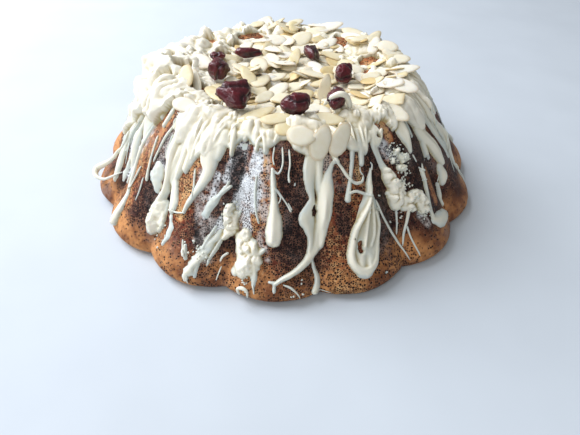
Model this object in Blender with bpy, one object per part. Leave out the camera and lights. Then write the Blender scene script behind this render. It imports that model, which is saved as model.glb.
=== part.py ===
"""An uncut bundt cake: a fluted, baked crust, a coat of white icing that drips down the flutes,
a bed of flaked almonds in the shallow top and dried cranberries lying on it.

Frame: metres, +Z up, the origin at the middle of the flat underside. Angles are in degrees, from the
front (-Y) towards +X. A place on the crust is an angle and a reach, the distance in millimetres along
the surface outwards and down from the crest; a negative reach lies on the dished top.
"""

import math
import random

import bmesh
import bpy
import numpy as np

MM = 0.001
# The gap that neighbouring parts keep, in millimetres, and the angle from which an edge is drawn sharp.
GAP = 0.4
SHARP_ANGLE = 50.0

CRUST_COLOUR = (0.33, 0.13, 0.045)
ICING_COLOUR = (0.88, 0.82, 0.66)
ALMOND_COLOUR = (0.85, 0.73, 0.48)
CRANBERRY_COLOUR = (0.12, 0.008, 0.014)

# Crust: lobes of equal angle with a crease between each two.
LOBES = 15
CREASE_ANGLE = 9.5
STEPS_PER_LOBE = 6
OVAL = 0.006
# How far the foot stands towards -X of the top, in millimetres.
LEAN = 1.2

# Half of the crust's section, from the middle of the top to the edge of the flat underside:
# radius at a lobe's tip, height, and how deep the creases are there.
SECTION = (
    (0.0, 56.2, 0.0),
    (22.0, 56.6, 0.0),
    (42.0, 58.6, 0.0),
    (54.0, 61.0, 0.0),
    (60.5, 61.0, 0.0),
    (66.5, 59.0, 0.8),
    (71.5, 54.8, 1.8),
    (77.0, 49.0, 2.8),
    (83.0, 41.5, 3.8),
    (88.5, 34.0, 4.6),
    (93.5, 26.2, 5.2),
    (98.6, 18.9, 5.7),
    (103.8, 13.0, 6.0),
    (107.8, 8.4, 6.0),
    (109.6, 4.6, 5.8),
    (108.2, 1.4, 5.4),
    (102.5, 0.0, 4.8),
)
SAMPLES_PER_SPAN = 10

# Icing: a coat over the top and shoulder, and drips that run on down from it.
ICING_THICKNESS = 2.4
ICING_EDGE_THICKNESS = 1.4
# The coat is heaped on one shoulder: how much thicker it is there, how much further down it runs, where
# that is, and over how wide an angle.
HEAP_THICKNESS = 5.2
HEAP_REACH = 12.0
# The heap's rings lie further apart, so its underside keeps this much more off the crust between them.
HEAP_GAP = 0.65
HEAP_ANGLE = -96.0
HEAP_SPREAD = 38.0
ICING_REACH = 17.0
# Waves that make the coat's lower edge ragged: how many go round, where each starts in radians, and how
# far it swings.
EDGE_WAVES = ((5, 1.0, 1.8), (11, 2.2, 1.3), (23, 0.0, 0.9))
DRIP_THICKNESS = 3.2
DRIP_UNDERCUT = 0.9
DRIP_START = 9.0
# A drip's rings, as shares of its length; how much it narrows on the way; the share where its end rounds off.
DRIP_STATIONS = (0.0, 0.22, 0.5, 0.78, 0.92, 1.0)
DRIP_NECK = 0.45
DRIP_ROUND_FROM = 0.72
DRIP_ROUND_LENGTH = 0.3
# Where the shoulders of a drip's section lie, as shares of its half width and of its height.
DRIP_SHOULDER_OUT = 0.85
DRIP_SHOULDER_UP = 0.55
# How much of its thickness a drip keeps at its very end, and how far the pole that shuts it reaches on.
DRIP_END_SHARE = 0.55
DRIP_POLE = 1.0

# Front drips: angle where each leaves the coat, angle of its end, reach of its end, width.
FRONT_DRIPS = (
    (-72.0, -76.0, 58.0, 7.0),
    (-60.0, -57.0, 75.0, 7.0),
    (-44.0, -43.0, 66.0, 14.0),
    (-27.0, -30.0, 52.0, 9.0),
    (-17.0, -12.0, 75.0, 13.0),
    (-4.0, -4.5, 56.0, 8.0),
    (7.0, 6.0, 76.0, 13.0),
    (17.0, 21.0, 75.0, 15.0),
    (33.0, 36.0, 60.0, 14.0),
    (45.0, 47.0, 62.0, 6.0),
    (62.0, 61.0, 54.0, 7.0),
)
# Drips round the back, where only their number, reach and width are chosen.
BACK_DRIPS = 8
BACK_FROM = 84.0
BACK_TO = 276.0
BACK_SEED = 5

# Bed of flaked almonds on the icing: an uneven outline and an uneven top.
BED_RADIUS = 57.0
BED_OUTLINE_WAVES = ((3, 0.5, 1.9), (7, 1.5, 1.1))
BED_THICKNESS = 3.4
# The top's unevenness: the product of two waves that turn with the radius, as how many of each go round,
# how far they swing and how far each turns, in radians; and a fixed wave. It fades over the inner part.
BED_TURNING_WAVE = (4, 2, 1.5)
BED_WAVE_TURNS = (6.0, 9.0)
BED_FIXED_WAVE = (7, 2.0, 0.9)
BED_CALM_SHARE = 0.4
BED_EDGE_THICKNESS = 1.6
BED_COLUMNS = 40
# The bed's rings, as shares of its radius: out along its underside, then back in along its top.
BED_UNDER_STATIONS = (0.76, 0.9, 1.0)
BED_TOP_STATIONS = (1.0, 0.9, 0.7, 0.4)

# Dried cranberries nested in the bed: x and y of the middle, length, width, height, turn about +Z, and how
# far the side away from -Y is tipped up, in degrees.
CRANBERRIES = (
    (-24.5, -44.0, 19.0, 17.0, 9.0, 12.0, 24.0),
    (-36.0, -12.5, 15.0, 11.0, 10.0, 75.0, 0.0),
    (3.5, -51.0, 14.5, 11.0, 9.5, 8.0, 0.0),
    (22.5, -45.5, 14.5, 10.0, 9.5, 60.0, 0.0),
    (28.5, -11.4, 14.5, 9.5, 9.5, 80.0, 0.0),
    (12.5, 17.6, 16.0, 8.0, 8.0, -68.0, 0.0),
    (-23.0, 17.0, 18.0, 6.5, 5.5, 6.0, 0.0),
    (-40.0, 10.0, 10.0, 6.0, 4.0, 15.0, 0.0),
)
BERRY_MERIDIANS = 10
BERRY_BANDS = 7
BERRY_FLOOR = 0.9
# A berry's folds: how many run along it, and how deep they are as a share of its half width.
BERRY_FOLDS = 3
BERRY_FOLD_DEPTH = 0.05


def clear_scene():
    for item in list(bpy.data.objects):
        bpy.data.objects.remove(item, do_unlink=True)


def material(name, colour, roughness):
    made = bpy.data.materials.new(name)
    made.use_nodes = True
    shader = made.node_tree.nodes["Principled BSDF"]
    shader.inputs["Base Color"].default_value = (*colour, 1.0)
    shader.inputs["Roughness"].default_value = roughness
    shader.inputs["Metallic"].default_value = 0.0
    return made


def add_object(name, rings, poles, look):
    """One closed body from rings of points in millimetres, with a pole point to shut each end."""
    bm = bmesh.new()
    made = [[bm.verts.new(np.asarray(point) * MM) for point in ring] for ring in rings]
    count = len(rings[0])
    for lower, upper in zip(made, made[1:]):
        for i in range(count):
            j = (i + 1) % count
            bm.faces.new((lower[i], lower[j], upper[j], upper[i]))
    for ring, pole, step in ((made[0], poles[0], -1), (made[-1], poles[1], 1)):
        tip = bm.verts.new(np.asarray(pole) * MM)
        for i in range(count):
            pair = (ring[i], ring[(i + 1) % count])
            bm.faces.new((*pair[::step], tip))
    bmesh.ops.recalc_face_normals(bm, faces=bm.faces)
    bmesh.ops.triangulate(bm, faces=bm.faces)
    mesh = bpy.data.meshes.new(name)
    bm.to_mesh(mesh)
    bm.free()
    mesh.materials.append(look)
    mesh.shade_smooth()
    mesh.set_sharp_from_angle(angle=math.radians(SHARP_ANGLE))
    added = bpy.data.objects.new(name, mesh)
    bpy.context.scene.collection.objects.link(added)
    return added


def smooth_line(points, per_span):
    """Points along a smooth curve through the given ones."""
    given = np.array(points, float)
    given = np.vstack([2 * given[0] - given[1], given, 2 * given[-1] - given[-2]])
    line = []
    for a, b, c, d in zip(given, given[1:], given[2:], given[3:]):
        for t in np.linspace(0.0, 1.0, per_span, endpoint=False):
            cubic = 3 * b - a - 3 * c + d
            line.append(b + 0.5 * ((c - a) * t + (2 * a - 5 * b + 4 * c - d) * t**2 + cubic * t**3))
    line.append(given[-2])
    return np.array(line)


SECTION_LINE = smooth_line(SECTION, SAMPLES_PER_SPAN)
SECTION_LENGTHS = np.concatenate([[0.0], np.cumsum(np.hypot(*np.diff(SECTION_LINE[:, :2], axis=0).T))])
CREST_LENGTH = SECTION_LENGTHS[np.argmax(SECTION_LINE[:, 1])]
TOP_REACH = -CREST_LENGTH
EDGE_REACH = SECTION_LENGTHS[-1] - CREST_LENGTH
# The samples where the radius still grows steadily, from the middle of the top to the shoulder.
ON_TOP = slice(0, 6 * SAMPLES_PER_SPAN)


def section(reach):
    """Tip radius, height and crease depth where the section has run this far from the crest."""
    return np.array([np.interp(reach + CREST_LENGTH, SECTION_LENGTHS, column) for column in SECTION_LINE.T])


def section_normal(reach):
    before = section(max(reach - 1.0, TOP_REACH))
    after = section(min(reach + 1.0, EDGE_REACH))
    across, up = (after - before)[:2]
    return np.array([-up, across]) / math.hypot(across, up)


def crust_point(angle, reach, lift=0.0):
    """The point on the crust at this place, or that far above its surface."""
    radius, height, depth = section(reach)
    phase = ((angle - CREASE_ANGLE) * LOBES / 360.0) % 1.0 * 2.0 - 1.0
    turn = math.radians(angle)
    radius = (radius - depth * phase**2) * (1.0 + OVAL * math.cos(2 * turn))
    outwards, upwards = section_normal(reach)
    radius += lift * outwards
    height += lift * upwards
    lean = LEAN * (max(reach, 0.0) / EDGE_REACH) ** 2
    return np.array([radius * math.sin(turn) - lean, -radius * math.cos(turn), height])


def crust_ring(angles, reaches, lift=0.0):
    return [crust_point(angle, reach, lift) for angle, reach in zip(angles, reaches)]


LOBE_ANGLES = [CREASE_ANGLE + 360.0 * i / (LOBES * STEPS_PER_LOBE) for i in range(LOBES * STEPS_PER_LOBE)]
# The rings of the crust: over the dished top from near its middle to the crest, then down the side.
TOP_REACHES = [TOP_REACH * share for share in (0.5, 0.24, 0.1, 0.0)]
SIDE_REACHES = [6.0, 12.0, 20.0, 36.0, 52.0, 66.0, 73.5, 78.0, 82.0, EDGE_REACH]
# The coat's rings down the side, as shares of its own reach.
COAT_STATIONS = (0.35, 0.7, 1.0)


def waves(given, angle):
    """The sum of these waves at this angle."""
    turn = math.radians(angle)
    return sum(swing * math.sin(count * turn + start) for count, start, swing in given)


def heaped(angle):
    """1 in the middle of the heaped shoulder, falling to 0 away from it."""
    away = (angle - HEAP_ANGLE + 180.0) % 360.0 - 180.0
    return math.exp(-((away / HEAP_SPREAD) ** 2))


def icing_reach(angle):
    """How far down the coat's ragged edge lies at this angle, between the drips."""
    return ICING_REACH + HEAP_REACH * heaped(angle) + waves(EDGE_WAVES, angle)


def coat_thickness(angle):
    """How thick the coat lies on the shoulder at this angle."""
    return ICING_THICKNESS + HEAP_THICKNESS * heaped(angle)


def make_cake():
    rings = [crust_ring(LOBE_ANGLES, [reach] * len(LOBE_ANGLES)) for reach in TOP_REACHES + SIDE_REACHES]
    poles = (crust_point(0.0, TOP_REACH), (0.0, 0.0, 0.0))
    return add_object("cake", rings, poles, material("baked_crust", CRUST_COLOUR, 0.7))


def icing_coat(look):
    """A closed shell: its underside from the middle out to the edge, then its face back to the middle."""
    lower = [icing_reach(angle) for angle in LOBE_ANGLES]
    top = [[reach] * len(LOBE_ANGLES) for reach in TOP_REACHES]
    side = [[share * reach for reach in lower] for share in COAT_STATIONS]
    rings = [crust_ring(LOBE_ANGLES, row, GAP) for row in top]
    for row in side:
        rings.append([crust_point(a, reach, GAP + HEAP_GAP * heaped(a)) for a, reach in zip(LOBE_ANGLES, row)])
    rings.append(crust_ring(LOBE_ANGLES, side[2], ICING_EDGE_THICKNESS))
    rings.append([crust_point(a, reach, coat_thickness(a)) for a, reach in zip(LOBE_ANGLES, side[1])])
    rings += [crust_ring(LOBE_ANGLES, row, ICING_THICKNESS) for row in top[:0:-1]]
    poles = (crust_point(0.0, TOP_REACH, GAP), crust_point(0.0, TOP_REACH, ICING_THICKNESS))
    return add_object("icing", rings, poles, look)


def icing_drip(name, start_angle, end_angle, end_reach, width, look):
    """A tongue that starts inside the coat, narrows, and swells again at its end."""
    rings = []
    for share in DRIP_STATIONS:
        reach = DRIP_START + (end_reach - DRIP_START) * share
        angle = start_angle + (end_angle - start_angle) * share
        neck = 1.0 - DRIP_NECK * math.sin(math.pi * min(share / DRIP_ROUND_FROM, 1.0))
        tip = math.sqrt(max(1.0 - (max(share - DRIP_ROUND_FROM, 0.0) / DRIP_ROUND_LENGTH) ** 2, 0.0))
        half = 0.5 * width * neck * tip
        radius = section(reach)[0]
        spread = math.degrees(half / radius)
        high = DRIP_THICKNESS * (DRIP_END_SHARE + (1.0 - DRIP_END_SHARE) * tip)
        low = DRIP_UNDERCUT
        shoulder = low + DRIP_SHOULDER_UP * (high - low)
        out = DRIP_SHOULDER_OUT
        outline = ((-1, low), (0, low), (1, low), (out, shoulder), (0, high), (-out, shoulder))
        rings.append([crust_point(angle + spread * side, reach, lift) for side, lift in outline])
    poles = [np.mean(rings[0], axis=0), crust_point(end_angle, end_reach + DRIP_POLE, DRIP_THICKNESS / 2)]
    return add_object(name, rings, poles, look)


def all_drips():
    """The front drips, then the back ones, evenly dealt round with seeded swings."""
    draw = random.Random(BACK_SEED)
    drips = list(FRONT_DRIPS)
    for i in range(BACK_DRIPS):
        angle = BACK_FROM + (BACK_TO - BACK_FROM) * (i + draw.uniform(0.3, 0.7)) / BACK_DRIPS
        drips.append((angle, angle + draw.uniform(-3, 3), draw.uniform(34, 70), draw.uniform(6, 12)))
    return drips


def make_icing():
    look = material("white_icing", ICING_COLOUR, 0.4)
    coat = icing_coat(look)
    for i, drip in enumerate(all_drips()):
        tongue = icing_drip(f"icing_drip_{i}", *drip, look)
        union = coat.modifiers.new(tongue.name, "BOOLEAN")
        union.operation = "UNION"
        union.object = tongue
        tongue.hide_render = True
        tongue.display_type = "WIRE"
    return coat


def bed_radius(angle):
    return BED_RADIUS + waves(BED_OUTLINE_WAVES, angle)


def bed_height(angle, share):
    """How far the bed's top lies above the icing, from its middle, share 0, to its edge, share 1."""
    if share == 1.0:
        return BED_EDGE_THICKNESS
    turn = math.radians(angle)
    first, second, swing = BED_TURNING_WAVE
    first_turn, second_turn = BED_WAVE_TURNS
    uneven = swing * math.sin(first * turn + first_turn * share)
    uneven *= math.sin(second * turn + second_turn * share)
    uneven += waves((BED_FIXED_WAVE,), angle)
    return max(BED_THICKNESS + uneven * min(1.0, share / BED_CALM_SHARE), BED_EDGE_THICKNESS)


def bed_surface(angle, radius, lift):
    """A point above the icing at this radius from the middle, along +Z."""
    reach = float(np.interp(radius, SECTION_LINE[:, 0][ON_TOP], SECTION_LENGTHS[ON_TOP])) - CREST_LENGTH
    point = crust_point(angle, reach, ICING_THICKNESS)
    return point + (0.0, 0.0, lift)


def make_almond_bed():
    angles = [360.0 * i / BED_COLUMNS for i in range(BED_COLUMNS)]
    rings = []
    for share in BED_UNDER_STATIONS:
        rings.append([bed_surface(a, share * bed_radius(a), GAP) for a in angles])
    for share in BED_TOP_STATIONS:
        rings.append([bed_surface(a, share * bed_radius(a), GAP + bed_height(a, share)) for a in angles])
    poles = (bed_surface(0.0, 0.0, GAP), bed_surface(0.0, 0.0, GAP + BED_THICKNESS))
    look = material("flaked_almond", ALMOND_COLOUR, 0.55)
    return add_object("almond_bed", rings, poles, look)


def berry_frame(turn_angle, tip_angle):
    """Unit vectors along a berry, across it and up through it."""
    along = math.radians(turn_angle)
    tip = math.radians(tip_angle)
    forwards = np.array([math.cos(along), math.sin(along), 0.0])
    level = np.array([-math.sin(along), math.cos(along), 0.0])
    upright = np.array([0.0, 0.0, 1.0])
    sideways = level * math.cos(tip) + upright * math.sin(tip)
    upwards = upright * math.cos(tip) - level * math.sin(tip)
    return forwards, sideways, upwards


def make_cranberry(name, place, size, turns, look, swell=0.0):
    """A dried berry, a flattened egg with soft folds along it, swollen all round by swell."""
    x_middle, y_middle = place
    forwards, sideways, upwards = berry_frame(*turns)
    radius = math.hypot(x_middle, y_middle)
    floor = bed_surface(math.degrees(math.atan2(x_middle, -y_middle)), radius, BERRY_FLOOR)
    reach_down = math.hypot(sideways[2] * size[1] / 2, upwards[2] * size[2] / 2)
    centre = floor + (0.0, 0.0, reach_down)
    length, width, height = (side / 2 + swell for side in size)
    rings = []
    for band in range(1, BERRY_BANDS):
        polar = math.pi * band / BERRY_BANDS
        ring = []
        for i in range(BERRY_MERIDIANS):
            around = 2 * math.pi * i / BERRY_MERIDIANS
            folded = 1.0 + math.cos(BERRY_FOLDS * around + turns[0])
            fold = 1.0 - BERRY_FOLD_DEPTH * folded * math.sin(polar)
            across = width * math.sin(polar) * math.cos(around) * fold
            up = height * math.sin(polar) * math.sin(around) * fold
            ring.append(centre - forwards * length * math.cos(polar) + sideways * across + upwards * up)
        rings.append(ring)
    return add_object(name, rings, (centre - forwards * length, centre + forwards * length), look)


def make_cranberries(bed):
    """Each berry, and a hollow for it in the bed."""
    look = material("dried_cranberry", CRANBERRY_COLOUR, 0.3)
    for i, (x, y, *size, turn_angle, tip_angle) in enumerate(CRANBERRIES, 1):
        turns = (turn_angle, tip_angle)
        make_cranberry(f"cranberry_{i}", (x, y), size, turns, look)
        cutter = make_cranberry(f"hollow_{i}", (x, y), size, turns, look, GAP)
        cutter.hide_render = True
        cutter.display_type = "WIRE"
        hollow = bed.modifiers.new(cutter.name, "BOOLEAN")
        hollow.operation = "DIFFERENCE"
        hollow.object = cutter


def main():
    clear_scene()
    make_cake()
    make_icing()
    bed = make_almond_bed()
    make_cranberries(bed)


main()
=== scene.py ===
import math

import bpy
import numpy as np
from mathutils import Matrix, Vector


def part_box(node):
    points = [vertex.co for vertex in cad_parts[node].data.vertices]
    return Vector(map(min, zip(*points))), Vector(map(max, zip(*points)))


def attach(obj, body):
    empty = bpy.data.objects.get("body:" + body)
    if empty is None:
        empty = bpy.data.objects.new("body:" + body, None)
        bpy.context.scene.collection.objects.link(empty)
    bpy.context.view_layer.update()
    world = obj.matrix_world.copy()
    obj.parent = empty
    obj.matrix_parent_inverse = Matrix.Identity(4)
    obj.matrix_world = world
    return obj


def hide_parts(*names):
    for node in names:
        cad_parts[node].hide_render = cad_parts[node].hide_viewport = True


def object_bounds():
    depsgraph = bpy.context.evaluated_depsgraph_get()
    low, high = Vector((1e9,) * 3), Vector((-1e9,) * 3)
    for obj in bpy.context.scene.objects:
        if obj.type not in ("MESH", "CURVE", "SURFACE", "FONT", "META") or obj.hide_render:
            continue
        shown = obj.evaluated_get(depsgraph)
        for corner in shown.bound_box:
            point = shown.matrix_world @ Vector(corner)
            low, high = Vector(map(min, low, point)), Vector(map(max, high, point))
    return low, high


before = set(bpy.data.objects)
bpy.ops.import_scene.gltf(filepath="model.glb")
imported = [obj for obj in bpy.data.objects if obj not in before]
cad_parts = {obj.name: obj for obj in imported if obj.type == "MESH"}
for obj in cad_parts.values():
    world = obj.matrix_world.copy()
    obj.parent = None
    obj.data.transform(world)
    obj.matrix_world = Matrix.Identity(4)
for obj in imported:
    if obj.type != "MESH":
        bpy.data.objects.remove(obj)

# An uncut bundt cake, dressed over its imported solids: a fluted dark crust, white icing laid on and dripped
# down it, flaked almonds piled in the shallow top, and dried cranberries among them.
#
# A place on the crust is an angle, in degrees from the front (-Y) towards +X, and a reach, the distance in
# millimetres along the surface outwards and down from the crest; a negative reach lies on the dished top.
# A lift is a height above the crust there. Sizes are in millimetres until a mesh is made.

bl_info = {
    "name": "Bundt Cake Dressing",
    "version": (1, 0, 0),
    "blender": (4, 5, 0),
    "location": "View3D > Sidebar > Cake",
    "description": "Dresses a bundt cake with crust, icing, almonds and cranberries",
    "category": "Object",
}

MM = 0.001
CAD_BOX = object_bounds()
BODY = "root"

# ---------------------------------------------------------------- the crust's shape

LOBES = 15
CREASE_ANGLE = 9.5
OVAL = 0.006
# How far the foot stands towards -X of the top, in millimetres.
LEAN = 1.2
# Half of the section: radius at a lobe's tip, height, crease depth.
SECTION = (
    (0.0, 56.2, 0.0), (22.0, 56.6, 0.0), (42.0, 58.6, 0.0), (54.0, 61.0, 0.0), (60.5, 61.0, 0.0),
    (66.5, 59.0, 0.8), (71.5, 54.8, 1.8), (77.0, 49.0, 2.8), (83.0, 41.5, 3.8), (88.5, 34.0, 4.6),
    (93.5, 26.2, 5.2), (98.6, 18.9, 5.7), (103.8, 13.0, 6.0), (107.8, 8.4, 6.0), (109.6, 4.6, 5.8),
    (108.2, 1.4, 5.4), (102.5, 0.0, 4.8),
)
SAMPLES_PER_SPAN = 10


def smooth_line(points, per_span):
    """Points along a smooth curve through the given ones."""
    given = np.array(points, float)
    given = np.vstack([2 * given[0] - given[1], given, 2 * given[-1] - given[-2]])
    line = []
    for a, b, c, d in zip(given, given[1:], given[2:], given[3:]):
        for t in np.linspace(0.0, 1.0, per_span, endpoint=False):
            cubic = 3 * b - a - 3 * c + d
            line.append(b + 0.5 * ((c - a) * t + (2 * a - 5 * b + 4 * c - d) * t**2 + cubic * t**3))
    line.append(given[-2])
    return np.array(line)


SECTION_LINE = smooth_line(SECTION, SAMPLES_PER_SPAN)
SECTION_LENGTHS = np.concatenate([[0.0], np.cumsum(np.hypot(*np.diff(SECTION_LINE[:, :2], axis=0).T))])
CREST_LENGTH = SECTION_LENGTHS[np.argmax(SECTION_LINE[:, 1])]
TOP_REACH = -CREST_LENGTH
EDGE_REACH = SECTION_LENGTHS[-1] - CREST_LENGTH


def section(reach, column):
    """Tip radius (0), height (1) or crease depth (2) at these reaches."""
    return np.interp(reach + CREST_LENGTH, SECTION_LENGTHS, SECTION_LINE[:, column])


def lobe_phase(angle):
    """From -1 in the crease before a lobe, through 0 on its ridge, to 1 in the crease after it."""
    return ((angle - CREASE_ANGLE) * LOBES / 360.0) % 1.0 * 2.0 - 1.0


def crust_points(angle, reach, lift=0.0):
    """Points that far above the crust at these places, as an array of x, y, z."""
    angle, reach, lift = np.broadcast_arrays(angle, reach, lift)
    before = np.maximum(reach - 1.0, TOP_REACH)
    after = np.minimum(reach + 1.0, EDGE_REACH)
    across = section(after, 0) - section(before, 0)
    up = section(after, 1) - section(before, 1)
    length = np.hypot(across, up)
    turn = np.radians(angle)
    radius = section(reach, 0) - section(reach, 2) * lobe_phase(angle) ** 2
    radius = radius * (1.0 + OVAL * np.cos(2 * turn)) - lift * up / length
    height = section(reach, 1) + lift * across / length
    lean = LEAN * (np.maximum(reach, 0.0) / EDGE_REACH) ** 2
    return np.stack([radius * np.sin(turn) - lean, -radius * np.cos(turn), height], axis=-1)


# ---------------------------------------------------------------- noise and blending in arrays

LATTICE = 32


def noise(points, size, seed):
    """Smooth noise from -1 to 1 whose bumps are about this many millimetres across."""
    values = np.random.default_rng(seed).uniform(-1, 1, (LATTICE, LATTICE, LATTICE))
    scaled = np.asarray(points) / size + 7.3 * seed
    cell = np.floor(scaled).astype(int)
    part = scaled - cell
    part = part * part * (3 - 2 * part)
    total = 0.0
    for dx in (0, 1):
        for dy in (0, 1):
            for dz in (0, 1):
                weight = 1.0
                for axis, step in enumerate((dx, dy, dz)):
                    weight = weight * (part[..., axis] if step else 1 - part[..., axis])
                corner = (cell + (dx, dy, dz)) % LATTICE
                total = total + weight * values[corner[..., 0], corner[..., 1], corner[..., 2]]
    return total


def layered_noise(points, size, seed, layers=3):
    """Noise with finer and fainter layers on it."""
    return sum(noise(points, size / 2**i, seed + i) / 1.7**i for i in range(layers)) / 1.6


def ramp(value, low, high):
    """0 below low, 1 above high and smooth between them; low may be above high."""
    share = np.clip((np.asarray(value, float) - low) / (high - low), 0, 1)
    return share * share * (3 - 2 * share)


def wrapped(angle):
    return (np.asarray(angle) + 180.0) % 360.0 - 180.0


# ---------------------------------------------------------------- meshes from arrays


def add_mesh(name, points, faces, attributes=None, smooth=True):
    """An object at the origin from points in millimetres and faces that are all of one length."""
    points = np.asarray(points, float)
    faces = np.asarray(faces, np.int32)
    mesh = bpy.data.meshes.new(name)
    mesh.vertices.add(len(points))
    mesh.vertices.foreach_set("co", (points * MM).astype(np.float32).ravel())
    mesh.loops.add(faces.size)
    mesh.loops.foreach_set("vertex_index", faces.ravel())
    mesh.polygons.add(len(faces))
    mesh.polygons.foreach_set("loop_start", np.arange(0, faces.size, faces.shape[1], dtype=np.int32))
    mesh.polygons.foreach_set("use_smooth", np.full(len(faces), smooth))
    for key, values in (attributes or {}).items():
        mesh.attributes.new(key, "FLOAT", "POINT")
        mesh.attributes[key].data.foreach_set("value", np.asarray(values, np.float32).ravel())
    mesh.update(calc_edges=True)
    mesh.validate()
    made = bpy.data.objects.new(name, mesh)
    bpy.context.scene.collection.objects.link(made)
    return made


def made_plain(source, name):
    """The evaluated object as a plain mesh object, with the source removed."""
    graph = bpy.context.evaluated_depsgraph_get()
    mesh = bpy.data.meshes.new_from_object(source.evaluated_get(graph), depsgraph=graph)
    mesh.name = name
    old = source.data
    bpy.data.objects.remove(source, do_unlink=True)
    if isinstance(old, bpy.types.Mesh):
        bpy.data.meshes.remove(old)
    else:
        bpy.data.curves.remove(old)
    made = bpy.data.objects.new(name, mesh)
    bpy.context.scene.collection.objects.link(made)
    return made


def thinned(source, triangles):
    """The object with its flat places joined into larger triangles, down to about this many."""
    source.data.calc_loop_triangles()
    count = len(source.data.loop_triangles)
    name = source.name
    source.name = name + "_full"
    if count > triangles:
        decimate = source.modifiers.new("fewer", "DECIMATE")
        decimate.ratio = triangles / count
    return made_plain(source, name)


def triangles_of(faces):
    faces = np.asarray(faces)
    return np.concatenate([faces[:, [0, 1, 2]], faces[:, [0, 2, 3]]])


def sheet_solid(name, angles, reaches, height, underside, closed_round, attributes=None):
    """A closed body where height is above the sunk level: its face, a buried underside and walls between."""
    rows, columns = height.shape
    grid_angles, grid_reaches = np.meshgrid(angles, reaches)
    lifts = np.maximum(height, SUNK)
    after = np.roll(lifts, -1, axis=1)
    high = np.maximum(lifts, after)
    kept = np.maximum(high[:-1], high[1:]) > SUNK + 1e-6
    if not closed_round:
        kept = kept[:, :-1]
    # Two cells that touch only at a corner get a third between them, so that no wall edge is shared by four.
    while True:
        one = kept[:-1, :-1] & kept[1:, 1:] & ~kept[1:, :-1] & ~kept[:-1, 1:]
        two = ~kept[:-1, :-1] & ~kept[1:, 1:] & kept[1:, :-1] & kept[:-1, 1:]
        if not (one.any() or two.any()):
            break
        kept[1:, :-1] |= one
        kept[:-1, :-1] |= two
    i, j = np.nonzero(kept)
    index = np.arange(rows * columns).reshape(rows, columns)
    right = (j + 1) % columns
    a, b, c, d = index[i, j], index[i + 1, j], index[i + 1, right], index[i, right]
    below = rows * columns
    faces = [np.stack([a, b, c, d], 1), np.stack([d, c, b, a], 1) + below]
    padded = np.zeros((kept.shape[0] + 2, kept.shape[1] + 2), bool)
    padded[1:-1, 1:-1] = kept
    if closed_round:
        padded[1:-1, 0] = kept[:, -1]
        padded[1:-1, -1] = kept[:, 0]
    for start, end, di, dj in ((a, b, 0, -1), (b, c, 1, 0), (c, d, 0, 1), (d, a, -1, 0)):
        bare = ~padded[i + 1 + di, j + 1 + dj]
        s, e = start[bare], end[bare]
        faces.append(np.stack([e, s, s + below, e + below], 1))
    faces = np.concatenate(faces)
    top = crust_points(grid_angles, grid_reaches, lifts).reshape(-1, 3)
    bottom = crust_points(grid_angles, grid_reaches, underside).reshape(-1, 3)
    used, inverse = np.unique(faces, return_inverse=True)
    points = np.concatenate([top, bottom])[used]
    kept_values = {}
    for key, values in (attributes or {}).items():
        kept_values[key] = np.concatenate([values.ravel(), values.ravel()])[used]
    return add_mesh(name, points, inverse.reshape(faces.shape), kept_values)


# ---------------------------------------------------------------- laying on icing

SUNK = -0.8
UNDERSIDE = -1.6


WOBBLE_FULL_WIDTH = 5.0
STREAK_WIDTH = 2.2
STREAK_SLOWNESS = 0.16


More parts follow.
